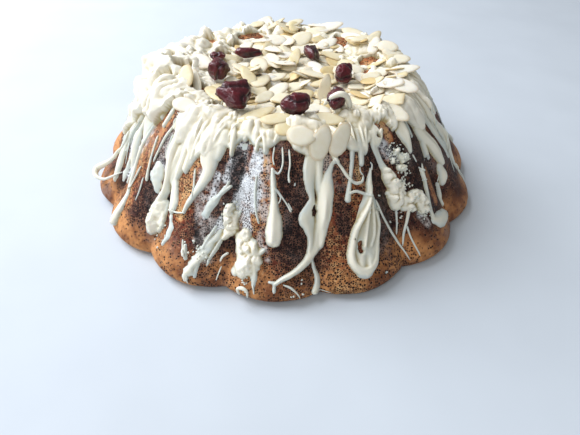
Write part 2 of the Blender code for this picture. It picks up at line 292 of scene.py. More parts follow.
class Layer:
    """A grid over part of the crust that strokes are painted on, with the height of what is laid there."""

    def __init__(self, angles, reaches, empty):
        self.angles = np.asarray(angles, float)
        self.reaches = np.asarray(reaches, float)
        self.value = np.full((len(self.reaches), len(self.angles)), float(empty))
        self.places = crust_points(*np.meshgrid(self.angles, self.reaches))
        self.per_degree = np.radians(1.0) * np.maximum(section(self.reaches, 0), 8.0)

    def window(self, stations, margin):
        """The rows and columns that a stroke with this margin can touch."""
        low, high = stations[:, 1].min() - margin, stations[:, 1].max() + margin
        rows = np.nonzero((self.reaches >= low) & (self.reaches <= high))[0]
        if not len(rows):
            return rows, rows
        spread = margin / self.per_degree[rows].min()
        middle = (stations[:, 0].min() + stations[:, 0].max()) / 2
        half = (stations[:, 0].max() - stations[:, 0].min()) / 2 + spread
        columns = np.nonzero(np.abs(wrapped(self.angles - middle)) <= half)[0]
        return rows, columns

    def stroke_share(self, stations, wobble, seed):
        """For each cell near the line: the largest share of a round bead's height that it gets, and where.

        The share is 1 on the line and 0 at the bead's edge. The second array is the bead's height there, and the
        third says how far across the line and how far along it each cell lies."""
        line = smooth_line(stations, 7) if len(stations) > 1 else np.array(stations, float)
        margin = line[:, 2].max() * 0.75 + 2.0
        rows, columns = self.window(line, margin)
        if not len(rows) or not len(columns):
            return rows, columns, None, None, None
        per_degree = self.per_degree[rows][:, None]
        x = wrapped(self.angles[columns] - line[0, 0])[None, :] * per_degree
        y = np.broadcast_to(self.reaches[rows][:, None], x.shape)
        places = self.places[np.ix_(rows, columns)]
        stretch = wobble * noise(places, 3.1, seed) + 0.5 * wobble * noise(places, 1.3, seed + 1)
        best = np.zeros(x.shape)
        tall = np.zeros(x.shape)
        across = np.zeros(x.shape)
        run = np.zeros(x.shape)
        gone = 0.0
        ends = line if len(line) > 1 else np.vstack([line, line])
        for start, end in zip(ends, ends[1:]):
            sx, ex = (wrapped(p[0] - line[0, 0]) * per_degree for p in (start, end))
            dx, dy = ex - sx, end[1] - start[1]
            along = ((x - sx) * dx + (y - start[1]) * dy) / np.maximum(dx * dx + dy * dy, 1e-9)
            along = np.clip(along, 0, 1)
            distance = np.hypot(x - sx - along * dx, y - start[1] - along * dy)
            width = start[2] + (end[2] - start[2]) * along
            high = start[3] + (end[3] - start[3]) * along
            swing = 1.0 + stretch * np.minimum(1.0, WOBBLE_FULL_WIDTH / np.maximum(width, 0.1))
            share = 1.0 - (distance * swing / (0.53 * np.maximum(width, 0.1))) ** 2
            better = share > best
            best = np.where(better, share, best)
            tall = np.where(better, high, tall)
            side = np.sign((x - sx) * dy - (y - start[1]) * dx)
            length = math.hypot(float(np.mean(dx)), dy)
            across = np.where(better, side * distance, across)
            run = np.where(better, gone + along * length, run)
            gone += length
        return rows, columns, best, tall, np.stack([across, run], -1)

    def lay(self, stations, kind="bead", seed=1):
        """Adds one stroke of icing: a round bead, a flat smear, or a lump of crumbled icing."""
        wobble = {"bead": 0.10, "smear": 0.42, "lump": 0.34}[kind]
        rows, columns, share, tall, where = self.stroke_share(with_heights(stations, kind), wobble, seed)
        if share is None:
            return
        here = np.ix_(rows, columns)
        places = self.places[here]
        if kind == "lump":
            tall = tall * (0.74 + 0.9 * np.abs(noise(places, 3.4, seed + 5)) + 0.35 * np.abs(noise(places, 1.6, seed + 6)))
        elif kind == "smear":
            tall = tall * (1.0 + 0.5 * noise(places, 2.2, seed + 5))
        else:
            streak = np.stack([where[..., 0], STREAK_SLOWNESS * where[..., 1], 0 * where[..., 0] + 17.3 * seed], -1)
            tall = tall * (1.0 + 0.48 * noise(streak, STREAK_WIDTH, seed + 5))
        laid = SUNK + (tall - SUNK) * np.sqrt(np.clip(share, 0, 1))
        laid = np.where(share > 0, laid, SUNK)
        self.value[here] = joined(self.value[here], laid)

    def paint(self, stations, strength=1.0, wobble=0.3, seed=1, soft=0.6):
        """Raises the value towards strength under a stroke with a soft edge."""
        rows, columns, share, _, _ = self.stroke_share(with_heights(stations, "smear"), wobble, seed)
        if share is None:
            return
        here = np.ix_(rows, columns)
        self.value[here] = np.maximum(self.value[here], strength * ramp(share, 0, soft))


def with_heights(stations, kind):
    """Stations of angle, reach, width and height; a height that isn't given follows from the width."""
    full = []
    for station in stations:
        angle, reach, width = station[:3]
        if len(station) > 3:
            height = station[3]
        elif kind == "smear":
            height = min(0.25 + 0.07 * width, 0.8)
        elif kind == "lump":
            height = min(0.9 + 0.26 * width, 3.2)
        else:
            height = min(0.45 + 0.21 * width, 2.3)
        full.append((angle, reach, width, height))
    return np.array(full, float)


def joined(a, b):
    """The higher of two heights, with a soft fillet where they meet."""
    blend = 0.5
    return np.maximum(a, b) + np.maximum(blend - np.abs(a - b), 0) ** 2 / (4 * blend)


# Strokes at the front, each a kind and its stations of angle, reach, width and, where given, height.
STROKES = (
    # The long double drip a little right of the middle, and its tail to the left.
    ("bead", ((10.5, 6, 8), (10, 14, 8), (8, 22, 7), (7.5, 30, 4.5), (8, 36, 3), (7.2, 40, 5.6),
              (6, 44, 7.2), (7, 48, 6), (7.6, 54, 4.2), (7.2, 60, 4))),
    ("bead", ((15.5, 20, 1.5), (14, 24, 3), (13, 28, 5), (12.2, 34, 6.8, 2.2), (11.5, 41, 7, 2.4), (11, 46, 6.4, 2.3),
              (10, 52, 6), (9, 58, 6), (7, 62, 5), (5, 65, 4), (2, 68, 3), (-0.5, 70, 2.4), (-2, 72, 1.6))),
    ("bead", ((12, 8, 6), (11, 15, 6), (10.4, 22, 5), (10.2, 28, 4), (10.2, 36, 2.2))),
    ("bead", ((-1.4, 71.6, 1.4), (-3.2, 71, 1.2))),
    ("bead", ((-2, 72, 1.3), (-2, 75.4, 1.1))),
    ("bead", ((7.4, 64, 1.2), (8, 69, 1.7), (8.6, 73, 2.6), (8.4, 76.5, 3.6), (8, 78.5, 3.8, 1.6))),
    ("bead", ((24.5, 10, 3), (23.4, 16, 2.6), (21.7, 23, 2.2), (20.2, 29, 2), (19, 35, 2.4), (18.6, 37, 2.8))),
    # The big teardrop.
    ("bead", ((28.6, 27, 1), (27.6, 29.6, 2.2), (26.8, 32.6, 3.4), (26, 36, 3.4), (25.4, 40, 7, 1.1),
              (24.6, 45, 11, 0.9), (23.9, 51, 14, 0.9), (22.6, 57, 14.4, 1.0), (21.4, 62, 13.6, 1.2),
              (20.8, 66, 12.6, 1.4), (20.5, 69, 9.6, 1.5))),
    ("bead", ((27, 34, 2.2, 1.5), (25.4, 40, 2.6, 2.0), (22.6, 45, 3, 2.3), (19.8, 51, 3.2, 2.5), (18.4, 57, 3.4, 2.6),
              (17.6, 62, 3.8, 2.8), (17.8, 66.4, 4.2, 2.8), (19.4, 69.6, 4.4, 2.6), (21.4, 70, 4.2, 2.5),
              (23.4, 68.2, 3.8, 2.2), (24.8, 64, 3, 1.8), (26, 58, 2.4, 1.5), (27.4, 52, 2.2, 1.4), (27, 46, 1.8, 1.3))),
    ("bead", ((25.8, 38, 1.6, 1.8), (24.2, 45, 1.8, 1.8), (22.6, 53, 1.9, 1.9), (21.4, 59, 2.2, 1.9))),
    ("bead", ((26.2, 41, 1.6, 1.6), (25.8, 48, 1.7, 1.7), (25, 55, 2, 1.8), (23.4, 59.6, 2.2, 1.8))),
    # The crumbled patch to the right of it.
    ("bead", ((33.2, 12, 4.5), (33.2, 20, 3.6), (34, 27, 3.2), (35, 32, 4))),
    ("lump", ((35, 32, 5), (36, 37, 7.4), (36.5, 41, 8.4), (36, 45, 7.6), (35.2, 49.5, 4.4))),
    ("lump", ((38.4, 47, 5), (40.5, 47, 6.6), (43, 47.6, 7.6), (44, 52, 7), (44.4, 55, 5))),
    ("lump", ((39.5, 51, 5), (38, 50, 4.5), (37.4, 46, 4))),
    ("lump", ((41.5, 23, 3), (40.5, 24, 2.6))),
    ("lump", ((42.4, 27.4, 4.6), (44, 28, 3.6))),
    ("lump", ((41.4, 32, 3.6), (40, 31, 2.4))),
    ("lump", ((38.2, 28, 2.2), (38.6, 26.5, 1.8))),
    ("bead", ((37.5, 4, 7), (36.6, 9, 7), (35.2, 13, 7.4), (34, 17, 5))),
    ("bead", ((27.6, 8, 4), (27, 14, 3.4), (26.4, 19, 3.2), (25.6, 23, 2.6))),
    ("bead", ((47.5, 6, 7), (48.6, 12, 7.4), (48.4, 18, 8.4, 2.2), (48, 23, 5), (47.4, 27, 2.4))),
    # The strand that ends in a small flag, and what hangs beside it.
    ("bead", ((49, 38, 1.8), (49, 40.5, 2.6), (48.6, 45, 2.1), (48.2, 51, 2.3), (47.4, 58, 2.4), (47, 62, 3))),
    ("bead", ((59, 56, 1.4), (58.2, 62, 2.2), (56.8, 67, 2.6))),
    ("bead", ((46.8, 63.5, 4, 1.1), (50.2, 67, 8, 1.3), (53.2, 69, 6.4, 1.3), (56, 71.5, 3.4, 1.1))),
    ("bead", ((58, 16, 6), (59, 25, 7, 2.1), (62, 34.5, 7, 2.3), (63.2, 41, 6, 2.1), (64, 46.5, 4.4))),
    ("bead", ((62.4, 48, 4.4), (62.2, 53, 6, 2.1), (61, 56.6, 4))),
    ("bead", ((70, 10, 8), (71, 20, 8.4, 2.4), (73, 31, 7.6, 2.5), (74.5, 44, 6.8, 2.4), (75, 54, 5.6, 2.2),
              (76, 61, 3.6), (77, 70, 1.9), (77.6, 76.5, 1.7))),
    ("bead", ((66, 22, 4), (68, 34, 4), (69.4, 42, 3), (70, 49, 1.8))),
    # Left side.
    ("bead", ((-73, 30, 5), (-72.4, 42, 5), (-71, 50, 5), (-69.4, 57, 4.6), (-68, 63, 3.4), (-67, 67, 1.6))),
    ("bead", ((-67, 36, 5), (-65, 46, 4.4), (-63.2, 52, 3.4), (-61.6, 57, 2.6), (-60.6, 61, 1.4))),
    ("smear", ((-65.4, 52, 3), (-64.8, 60, 3), (-64, 64, 1.6))),
    ("bead", ((-66.6, 24, 5), (-63.4, 34, 4), (-60.4, 42, 3.6), (-58, 49, 3), (-56.4, 55, 3), (-54.6, 60, 3.6),
              (-54, 66, 4.6, 2.3), (-53.6, 71, 5, 2.6), (-53, 75, 4.4, 2.5))),
    ("bead", ((-72, 18, 9), (-73, 27, 8), (-76, 38, 5), (-78, 46, 3))),
    ("bead", ((-82, 16, 9), (-85, 28, 8), (-88, 40, 4), (-89, 50, 2))),
    ("smear", ((-45.6, 38, 7), (-45, 42, 7.6), (-43.6, 46, 4.4), (-42.6, 49, 2))),
    # The mass that runs down from the left shoulder, in three tongues.
    ("bead", ((-42, 14, 9), (-42, 23, 8.4), (-42, 28, 8), (-41.4, 33, 6.6), (-40.7, 40, 4.6), (-40.4, 47, 4.4),
              (-41, 53, 5.6), (-41, 58, 7.4))),
    ("lump", ((-40.8, 56, 7, 2.2), (-39.8, 60, 9.5, 2.6), (-39.6, 63.5, 10.5, 2.8), (-39.8, 67.5, 7, 2.3))),
    ("bead", ((-40, 55, 7), (-39.6, 62, 9, 2.2), (-39.5, 66, 7))),
    ("smear", ((-34.6, 56, 3), (-33.4, 61, 4.6), (-33.4, 65, 3), (-34, 69.4, 1.8))),
    ("bead", ((-38.6, 12, 10), (-38, 21, 10), (-37.8, 28, 9.4), (-38.4, 34, 7.4), (-38.6, 40, 5.4), (-36.6, 44.4, 6),
              (-35.4, 49, 6.4), (-35.6, 53, 5))),
    ("bead", ((-34.5, 11, 9), (-34.4, 19, 9.4), (-34.6, 26, 6.6), (-35, 32, 4.4))),
    ("bead", ((-28.4, 8, 11), (-28.2, 16, 11.4), (-27, 22, 9.4), (-25.8, 27, 6.4), (-26.6, 33, 4.8), (-28.2, 39.6, 3.2),
              (-29.6, 45, 2.8), (-30.2, 49.5, 2.2))),
    ("bead", ((-24.4, 10, 6), (-24, 17, 5), (-23.8, 21, 3))),
    # The thin run in the middle left that thickens towards its foot.
    ("smear", ((-18.6, 56, 4), (-20, 60, 4.4, 0.7), (-21.4, 65, 4.8, 0.9), (-22.8, 70, 4.6, 1.2), (-23.8, 74.5, 4.4, 1.3),
               (-23.8, 78, 2.4, 1.0))),
    ("smear", ((-21.8, 70, 2.2), (-21.8, 76, 1.6))),
    ("bead", ((-16.8, 54, 1.2), (-18, 60, 1.8), (-19.2, 66, 1.4), (-19.6, 70, 0.9))),
    ("bead", ((-19.6, 52, 1.2), (-21, 58, 1.6), (-22.6, 66, 1.3))),
    ("bead", ((-17.6, 33, 1.6), (-19.4, 36, 1.5), (-21.4, 40, 1.2))),
    ("bead", ((-18.4, 31, 1.2), (-19, 34, 1.6), (-20, 36, 1.4))),
    ("bead", ((-13.4, 44, 1.1), (-14.6, 50, 1.6), (-16.4, 55, 1.2))),
    ("bead", ((-9.6, 26, 1.0), (-9.4, 34, 1.4), (-8.6, 41, 1.1), (-7.4, 46, 0.9))),
    ("smear", ((-19.2, 33.6, 2), (-20.2, 37, 2.8), (-22, 42, 4.2), (-23.2, 46.4, 3.4))),
    ("lump", ((-16.6, 43, 4), (-16.4, 46, 5), (-15.6, 50, 7), (-15.6, 54, 5.6), (-16.6, 57, 2.6))),
    ("lump", ((-11, 52.6, 5), (-11, 57, 9.6, 2.4), (-9.8, 60, 12.6, 2.8), (-9.2, 64, 11.6, 2.7), (-10.4, 68.4, 8.6, 2.3))),
    ("bead", ((-8.6, 59.4, 6, 2), (-6.6, 58.6, 3.6, 1.4), (-5.2, 57.2, 1.6, 0.9))),
    ("bead", ((-8.2, 66, 6), (-7.2, 70, 3.6), (-7, 74.4, 1.6))),
    ("bead", ((-11.6, 68, 4), (-12.4, 71.6, 3.6, 1.5))),
    # The teardrop in the middle.
    ("bead", ((-4.6, 22, 1.8), (-4.2, 26, 2.2), (-3.7, 32, 2.8), (-3.3, 38, 3.8, 1.5), (-3.1, 44, 6, 1.9),
              (-3, 49, 7.2, 2.4), (-3, 52.4, 6.6, 2.5))),
    ("bead", ((-26.6, 63, 1.4), (-26, 66.4, 2.2), (-25.4, 68.6, 2))),
)
# Where the coat's lower edge runs, as angle and reach; the back's is drawn by rule.
COAT_EDGE = (
    (-112, 24), (-104, 32), (-95, 38), (-85, 40), (-75, 37), (-66, 30), (-60, 20), (-56, 11), (-52, 7), (-47, 8),
    (-44, 15), (-41, 26), (-34, 27), (-28, 24), (-25, 19), (-20, 15), (-16, 11), (-12, 14), (-8, 14), (-4, 9),
    (-1, 10), (2, 12), (6, 15), (10, 19), (15, 17), (18, 12), (22, 14), (26, 16), (29, 20), (33, 16),
    (37, 7), (41, 8), (44, 15), (48, 12), (52, 11), (56, 20), (60, 24), (66, 20), (74, 24), (84, 28),
    (94, 18), (104, 26), (112, 20),
)
BARE_FRONT = (
    # Bare crust within the coat: angle, reach, width.
    ((40.5, 9.5, 4.6), (41.5, 14, 5.4), (42.5, 19, 5.2)),
    ((-53, 4, 4.2), (-50.5, 8, 4.6)),
    ((-72, 6, 5.6), (-70, 9.5, 3.6)),
    ((-97, 3, 6), (-92, 5, 4)),
    ((20.4, 57.6, 1.6), (20.2, 61, 3.0)),
    ((8.6, 40, 1.4), (8.4, 43.6, 1.8)),
    ((-30.5, -3, 2.2), (-36, -4, 3), (-42, -2.4, 2.0)),
    ((-60, -8, 3.4), (-63, -10, 2.6)),
)
BARE_TOP = (
    # Bare cake in the dished top: x, y, radius.
    (-20, 47, 4.6), (-28, 44, 4.2), (30, 41, 4.8), (45, 16, 4.6), (40.5, 3, 3.4), (51, -6, 3.4), (43.5, -30.5, 4.4),
    (-44.5, -25, 4.2), (-53, 32, 3.6), (-47, 35, 3.6), (-38, 21, 4.0), (-33, -42, 3.0), (8, 52, 3),
    (-56, -6, 3.4), (-30, 33, 2.6),
)
LUMPS_TOP = (
    # Heaped icing near the crest: x, y, width, height.
    (-30, 57, 8, 4.6), (-25.6, 51, 7, 3.6), (-34, 36, 9, 4.6), (-50.5, 43, 10, 5.2), (-56, 27, 9, 4.8), (-55, 12, 11, 4.4),
    (-45, 38, 7, 4.0), (-40, 27, 7, 3.6), (-61, -12, 9, 3.4), (-56, -26, 7, 3.2), (-38, -50, 8, 3.2), (-24, -53, 7, 2.8),
    (24, -46, 8, 4.4), (31, -50, 8, 3.8), (42, -46, 8, 3.6), (43, -25, 6, 4.2), (46, -14, 6, 4.0), (37, -33, 6, 3.6),
    (-2, -52, 6, 3.0), (53, 42, 7, 4.2), (45, 46, 7, 4.0), (-4, -40, 6, 3.0), (56, 6, 6, 3.4), (12, -50, 5, 3.0),
    (-12, 61, 7, 4.0), (58, -20, 6, 3.2), (-47, -14, 5, 3.2), (30, 20, 5, 3.2), (-20, -30, 5, 2.8), (-8, 0, 5, 2.8),
)
# How much the outline of a bare place swings, as a share of its width.
BARE_WOBBLE = 0.8
# How wide a bare place is opened for each millimetre of its radius, so that its ragged outline keeps its size.
BARE_SPREAD = 2.6
HEAP_THICKNESS = 6.2
HEAP_ANGLE = -86.0
HEAP_SPREAD = 32.0
FOLD_RADIUS = 60.0
FRONT_ANGLES = (-112.0, 112.0)
FRONT_COLUMN = 0.27
FRONT_ROW = 0.45
BACK_COLUMN = 0.5
BACK_ROW = 0.75
COAT_TOP = -16.0
TOP_COLUMNS = 560
TOP_ROW = 0.6
BACK_SEED = 5
RIB_SEED = 11
# Where thin runs hang below the coat: from and to which angle, and how many.
FRINGE = ((-108.0, -52.0, 26), (52.0, 108.0, 14))
FRINGE_SEED = 37


def coat_edge(angle):
    """The reach of the coat's ragged lower edge at these angles."""
    given = np.array(COAT_EDGE, float)
    around = wrapped(angle)
    turn = np.radians(around)
    behind = 21 + 5 * np.sin(5 * turn + 1) + 4 * np.sin(11 * turn + 2.2) + 3 * np.sin(23 * turn)
    front = np.interp(around, given[:, 0], given[:, 1])
    share = ramp(np.abs(around), 104, 114)
    return front * (1 - share) + behind * share


def coat_thickness(layer):
    """How thick the coat lies: in round curds at the crest, in folds down the side, and heaped on one shoulder."""
    places = layer.places
    reach = layer.reaches[:, None]
    plain = 1.5 + 0.5 * noise(places, 11, 43) + 0.3 * noise(places, 4.2, 44)
    curds = 3.4 * np.abs(noise(places, 8.5, 46)) + 1.5 * np.abs(noise(places, 4.2, 47))
    curds = curds + 0.55 * np.abs(noise(places, 1.9, 48)) - 1.1
    turn = np.radians(layer.angles)[None, :]
    slow = 0.22 * reach + 0 * turn
    run = np.stack([FOLD_RADIUS * np.sin(turn) + 0 * reach, FOLD_RADIUS * np.cos(turn) + 0 * reach, slow], -1)
    folds = 3.0 * np.abs(noise(run, 6.5, 51)) + 1.4 * np.abs(noise(run, 2.8, 52)) + 0.3 * noise(places, 2.2, 45) - 0.8
    crest = ramp(reach, -24, -10) * (1 - ramp(reach, 3, 13))
    side = ramp(reach, 0, 12)
    away = wrapped(layer.angles - HEAP_ANGLE)[None, :] / HEAP_SPREAD
    heap = HEAP_THICKNESS * np.exp(-away ** 2) * ramp(reach, -14, 8) * (1 - ramp(reach, 14, 36))
    heaped = np.exp(-away ** 2)
    finer = 1.5 * noise(places, 5.0, 56) + 0.8 * np.abs(noise(places, 2.4, 55)) - 0.3
    return plain + crest * curds + side * (folds + heaped * (0.5 * folds + finer)) + heap * (1 + 0.4 * noise(places, 7, 49))


def lay_coat(layer):
    """The coat over the shoulder, with its uneven top and rounded lower edge."""
    places = layer.places
    turn = np.radians(layer.angles)
    round_coat = np.stack([FOLD_RADIUS * np.sin(turn), FOLD_RADIUS * np.cos(turn), 0 * turn], -1)
    away = wrapped(layer.angles - HEAP_ANGLE) / HEAP_SPREAD
    fringe = 2.5 * noise(round_coat, 3.4, 53) + 14 * np.exp(-away ** 2) * noise(round_coat, 4.6, 54)
    edge = (coat_edge(layer.angles) + fringe)[None, :] + 1.4 * noise(places, 5, 41) + 0.7 * noise(places, 2, 42)
    share = np.clip((edge - layer.reaches[:, None]) / 2.6, 0, 1)
    thick = coat_thickness(layer)
    laid = SUNK + (thick - SUNK) * np.sqrt(1 - (1 - share) ** 2)
    layer.value = np.where(share > 0, np.maximum(laid, SUNK), SUNK)


def lay_ribs(layer):
    """Short runs of icing down the shoulder, which give the coat its streaks and its fringe."""
    draw = np.random.default_rng(RIB_SEED)
    for i in range(150):
        angle = -180 + 360 * (i + draw.uniform(0.1, 0.9)) / 150
        start = draw.uniform(1, 8)
        end = coat_edge(angle) + draw.uniform(-5, 2.5)
        width = draw.uniform(1.8, 4.4)
        high = draw.uniform(1.7, 2.8)
        lean = draw.uniform(-2.5, 2.5)
        bulge = draw.uniform(0.7, 1.3)
        if end - start > 6:
            middle = (start + end) / 2
            layer.lay(((angle, start, width, high * 0.8), (angle + lean, middle, width * bulge, high),
                       (angle + lean * 1.2, end, width * 0.6, high * 0.6)), "bead", 60 + i)


def lay_fringe(layer):
    """Thin runs below the coat's edge on both sides."""
    draw = np.random.default_rng(FRINGE_SEED)
    for low, high, count in FRINGE:
        for i in range(count):
            angle = low + (high - low) * (i + draw.uniform(0.1, 0.9)) / count
            start = coat_edge(angle) - draw.uniform(4, 10)
            length = draw.uniform(10, 30)
            width = draw.uniform(1.1, 2.6)
            lean = draw.uniform(-3, 3)
            swell = draw.uniform(0.6, 1.5)
            layer.lay(((angle, start, width * 1.7), (angle + 0.5 * lean, start + 0.5 * length, width),
                       (angle + lean, start + length, width * swell)), "bead", 820 + i)


def lay_back_drips(layer):
    """Drips round the back, dealt out evenly with seeded swings."""
    draw = np.random.default_rng(BACK_SEED)
    for i in range(22):
        angle = 92 + 176 * (i + draw.uniform(0.25, 0.75)) / 22
        end = draw.uniform(34, 74)
        width = draw.uniform(2.4, 6.0)
        lean = draw.uniform(-5, 5)
        neck = draw.uniform(0.45, 0.8)
        swell = draw.uniform(1.0, 1.9)
        start = draw.uniform(6, 12)
        middle = (start + end) / 2
        layer.lay(((angle, start, width * 1.3), (angle + lean * 0.4, middle, width * neck),
                   (angle + lean * 0.8, end - 7, width * neck * 1.1), (angle + lean, end - 2.5, width * swell),
                   (angle + lean, end, width * swell * 0.8)), "bead", 300 + i)


def scoop(layer, strokes, seed):
    """Opens bare places in what is laid."""
    for i, stations in enumerate(strokes):
        rows, columns, share, _, _ = layer.stroke_share(with_heights(stations, "lump"), BARE_WOBBLE, seed + i)
        if share is None:
            continue
        here = np.ix_(rows, columns)
        bare = ramp(share, 0.0, 0.45)
        layer.value[here] = layer.value[here] * (1 - bare) + SUNK * bare


def top_stations(spots):
    """Spots given by x, y and more, as one-station strokes of angle, reach and more."""
    table_radius = SECTION_LINE[:, 0][SECTION_LENGTHS <= CREST_LENGTH]
    table_reach = SECTION_LENGTHS[SECTION_LENGTHS <= CREST_LENGTH] - CREST_LENGTH
    found = []
    for x, y, *more in spots:
        radius = math.hypot(x, y)
        reach = float(np.interp(radius, table_radius, table_reach)) + max(radius - table_radius[-1], 0.0)
        found.append(((math.degrees(math.atan2(x, -y)), reach, *more),))
    return found


def front_layer():
    low, high = FRONT_ANGLES
    angles = np.linspace(low, high, int((high - low) / FRONT_COLUMN) + 1)
    return Layer(angles, np.arange(COAT_TOP, 82.0, FRONT_ROW), SUNK)


def back_layer():
    low, high = FRONT_ANGLES[1], FRONT_ANGLES[0] + 360
    angles = np.linspace(low, high, int((high - low) / BACK_COLUMN) + 1)
    return Layer(angles, np.arange(COAT_TOP, 80.0, BACK_ROW), SUNK)


def lay_everything(layer):
    lay_coat(layer)
    lay_ribs(layer)
    lay_fringe(layer)
    for i, stations in enumerate(top_stations(LUMPS_TOP)):
        layer.lay(stations, "lump", 500 + 3 * i)
    for i, (kind, stations) in enumerate(STROKES):
        layer.lay(stations, kind, 100 + 2 * i)
    lay_back_drips(layer)
    scoop(layer, BARE_FRONT, 700)
    scoop(layer, top_stations((x, y, BARE_SPREAD * radius) for x, y, radius in BARE_TOP), 720)


def top_layer():
    """The sheet of icing under the almonds."""
    angles = np.arange(TOP_COLUMNS) * 360.0 / TOP_COLUMNS
    rows = int((COAT_TOP - TOP_REACH) / TOP_ROW)
    layer = Layer(angles, np.linspace(TOP_REACH, COAT_TOP, rows), SUNK)
    layer.value = coat_thickness(layer)
    for i, stations in enumerate(top_stations(LUMPS_TOP)):
        layer.lay(stations, "lump", 500 + 3 * i)
    scoop(layer, top_stations((x, y, BARE_SPREAD * radius) for x, y, radius in BARE_TOP), 720)
    return layer


LAID = {}


def laid_layers():
    """The three layers of icing, made once and used by every piece that lies on them."""
    if not LAID:
        front, back = front_layer(), back_layer()
        lay_everything(front)
        lay_everything(back)
        LAID.update(front=front, back=back, top=top_layer())
    return LAID


def laid_height(angle, reach):
    """How high the icing lies at these places, at least 0, taken from the layers."""
    found = np.zeros(np.broadcast(angle, reach).shape)
    angle = np.broadcast_to(angle, found.shape)
    reach = np.broadcast_to(reach, found.shape)
    for layer in laid_layers().values():
        first, last = layer.angles[0], layer.angles[-1]
        step = layer.angles[1] - first
        column = np.round(((angle - first) % 360) / step).astype(int)
        if last - first > 350:
            column = column % len(layer.angles)
        row = np.round((reach - layer.reaches[0]) / (layer.reaches[1] - layer.reaches[0])).astype(int)
        inside = (column >= 0) & (column < len(layer.angles)) & (row >= 0) & (row < len(layer.reaches))
        found[inside] = layer.value[row[inside], column[inside]]
    return np.maximum(found, 0)


# ---------------------------------------------------------------- materials


def linear(colour):
    """A colour given as sRGB hex, as the linear values that shaders take."""
    parts = [int(colour[i:i + 2], 16) / 255 for i in (1, 3, 5)]
    return tuple(c / 12.92 if c <= 0.04045 else ((c + 0.055) / 1.055) ** 2.4 for c in parts)


def rgba(colour):
    return (*(linear(colour) if isinstance(colour, str) else tuple(colour)[:3]), 1.0)


def add_node(tree, kind, settings=None, inputs=None):
    """One node with its settings, and its inputs set to a value or linked to another node's output."""
    made = tree.nodes.new(kind)
    for key, value in (settings or {}).items():
        setattr(made, key, value)
    for key, value in (inputs or {}).items():
        if isinstance(value, bpy.types.NodeSocket):
            tree.links.new(value, made.inputs[key])
        else:
            made.inputs[key].default_value = value
    return made


def new_material(name):
    """An empty material with its output, and the object's coordinates."""
    made = bpy.data.materials.new(name)
    made.use_nodes = True
    tree = made.node_tree
    tree.nodes.clear()
    place = add_node(tree, "ShaderNodeTexCoord").outputs["Object"]
    return made, tree, place


def finish_material(tree, shader):
    add_node(tree, "ShaderNodeOutputMaterial", None, {"Surface": shader.outputs["BSDF"]})


def set_ramp(node, stops):
    """Stops of position and colour on a colour ramp node."""
    elements = node.color_ramp.elements
    while len(elements) < len(stops):
        elements.new(0.5)
    for element, (position, colour) in zip(elements, stops):
        element.position = position
        element.color = rgba(colour)


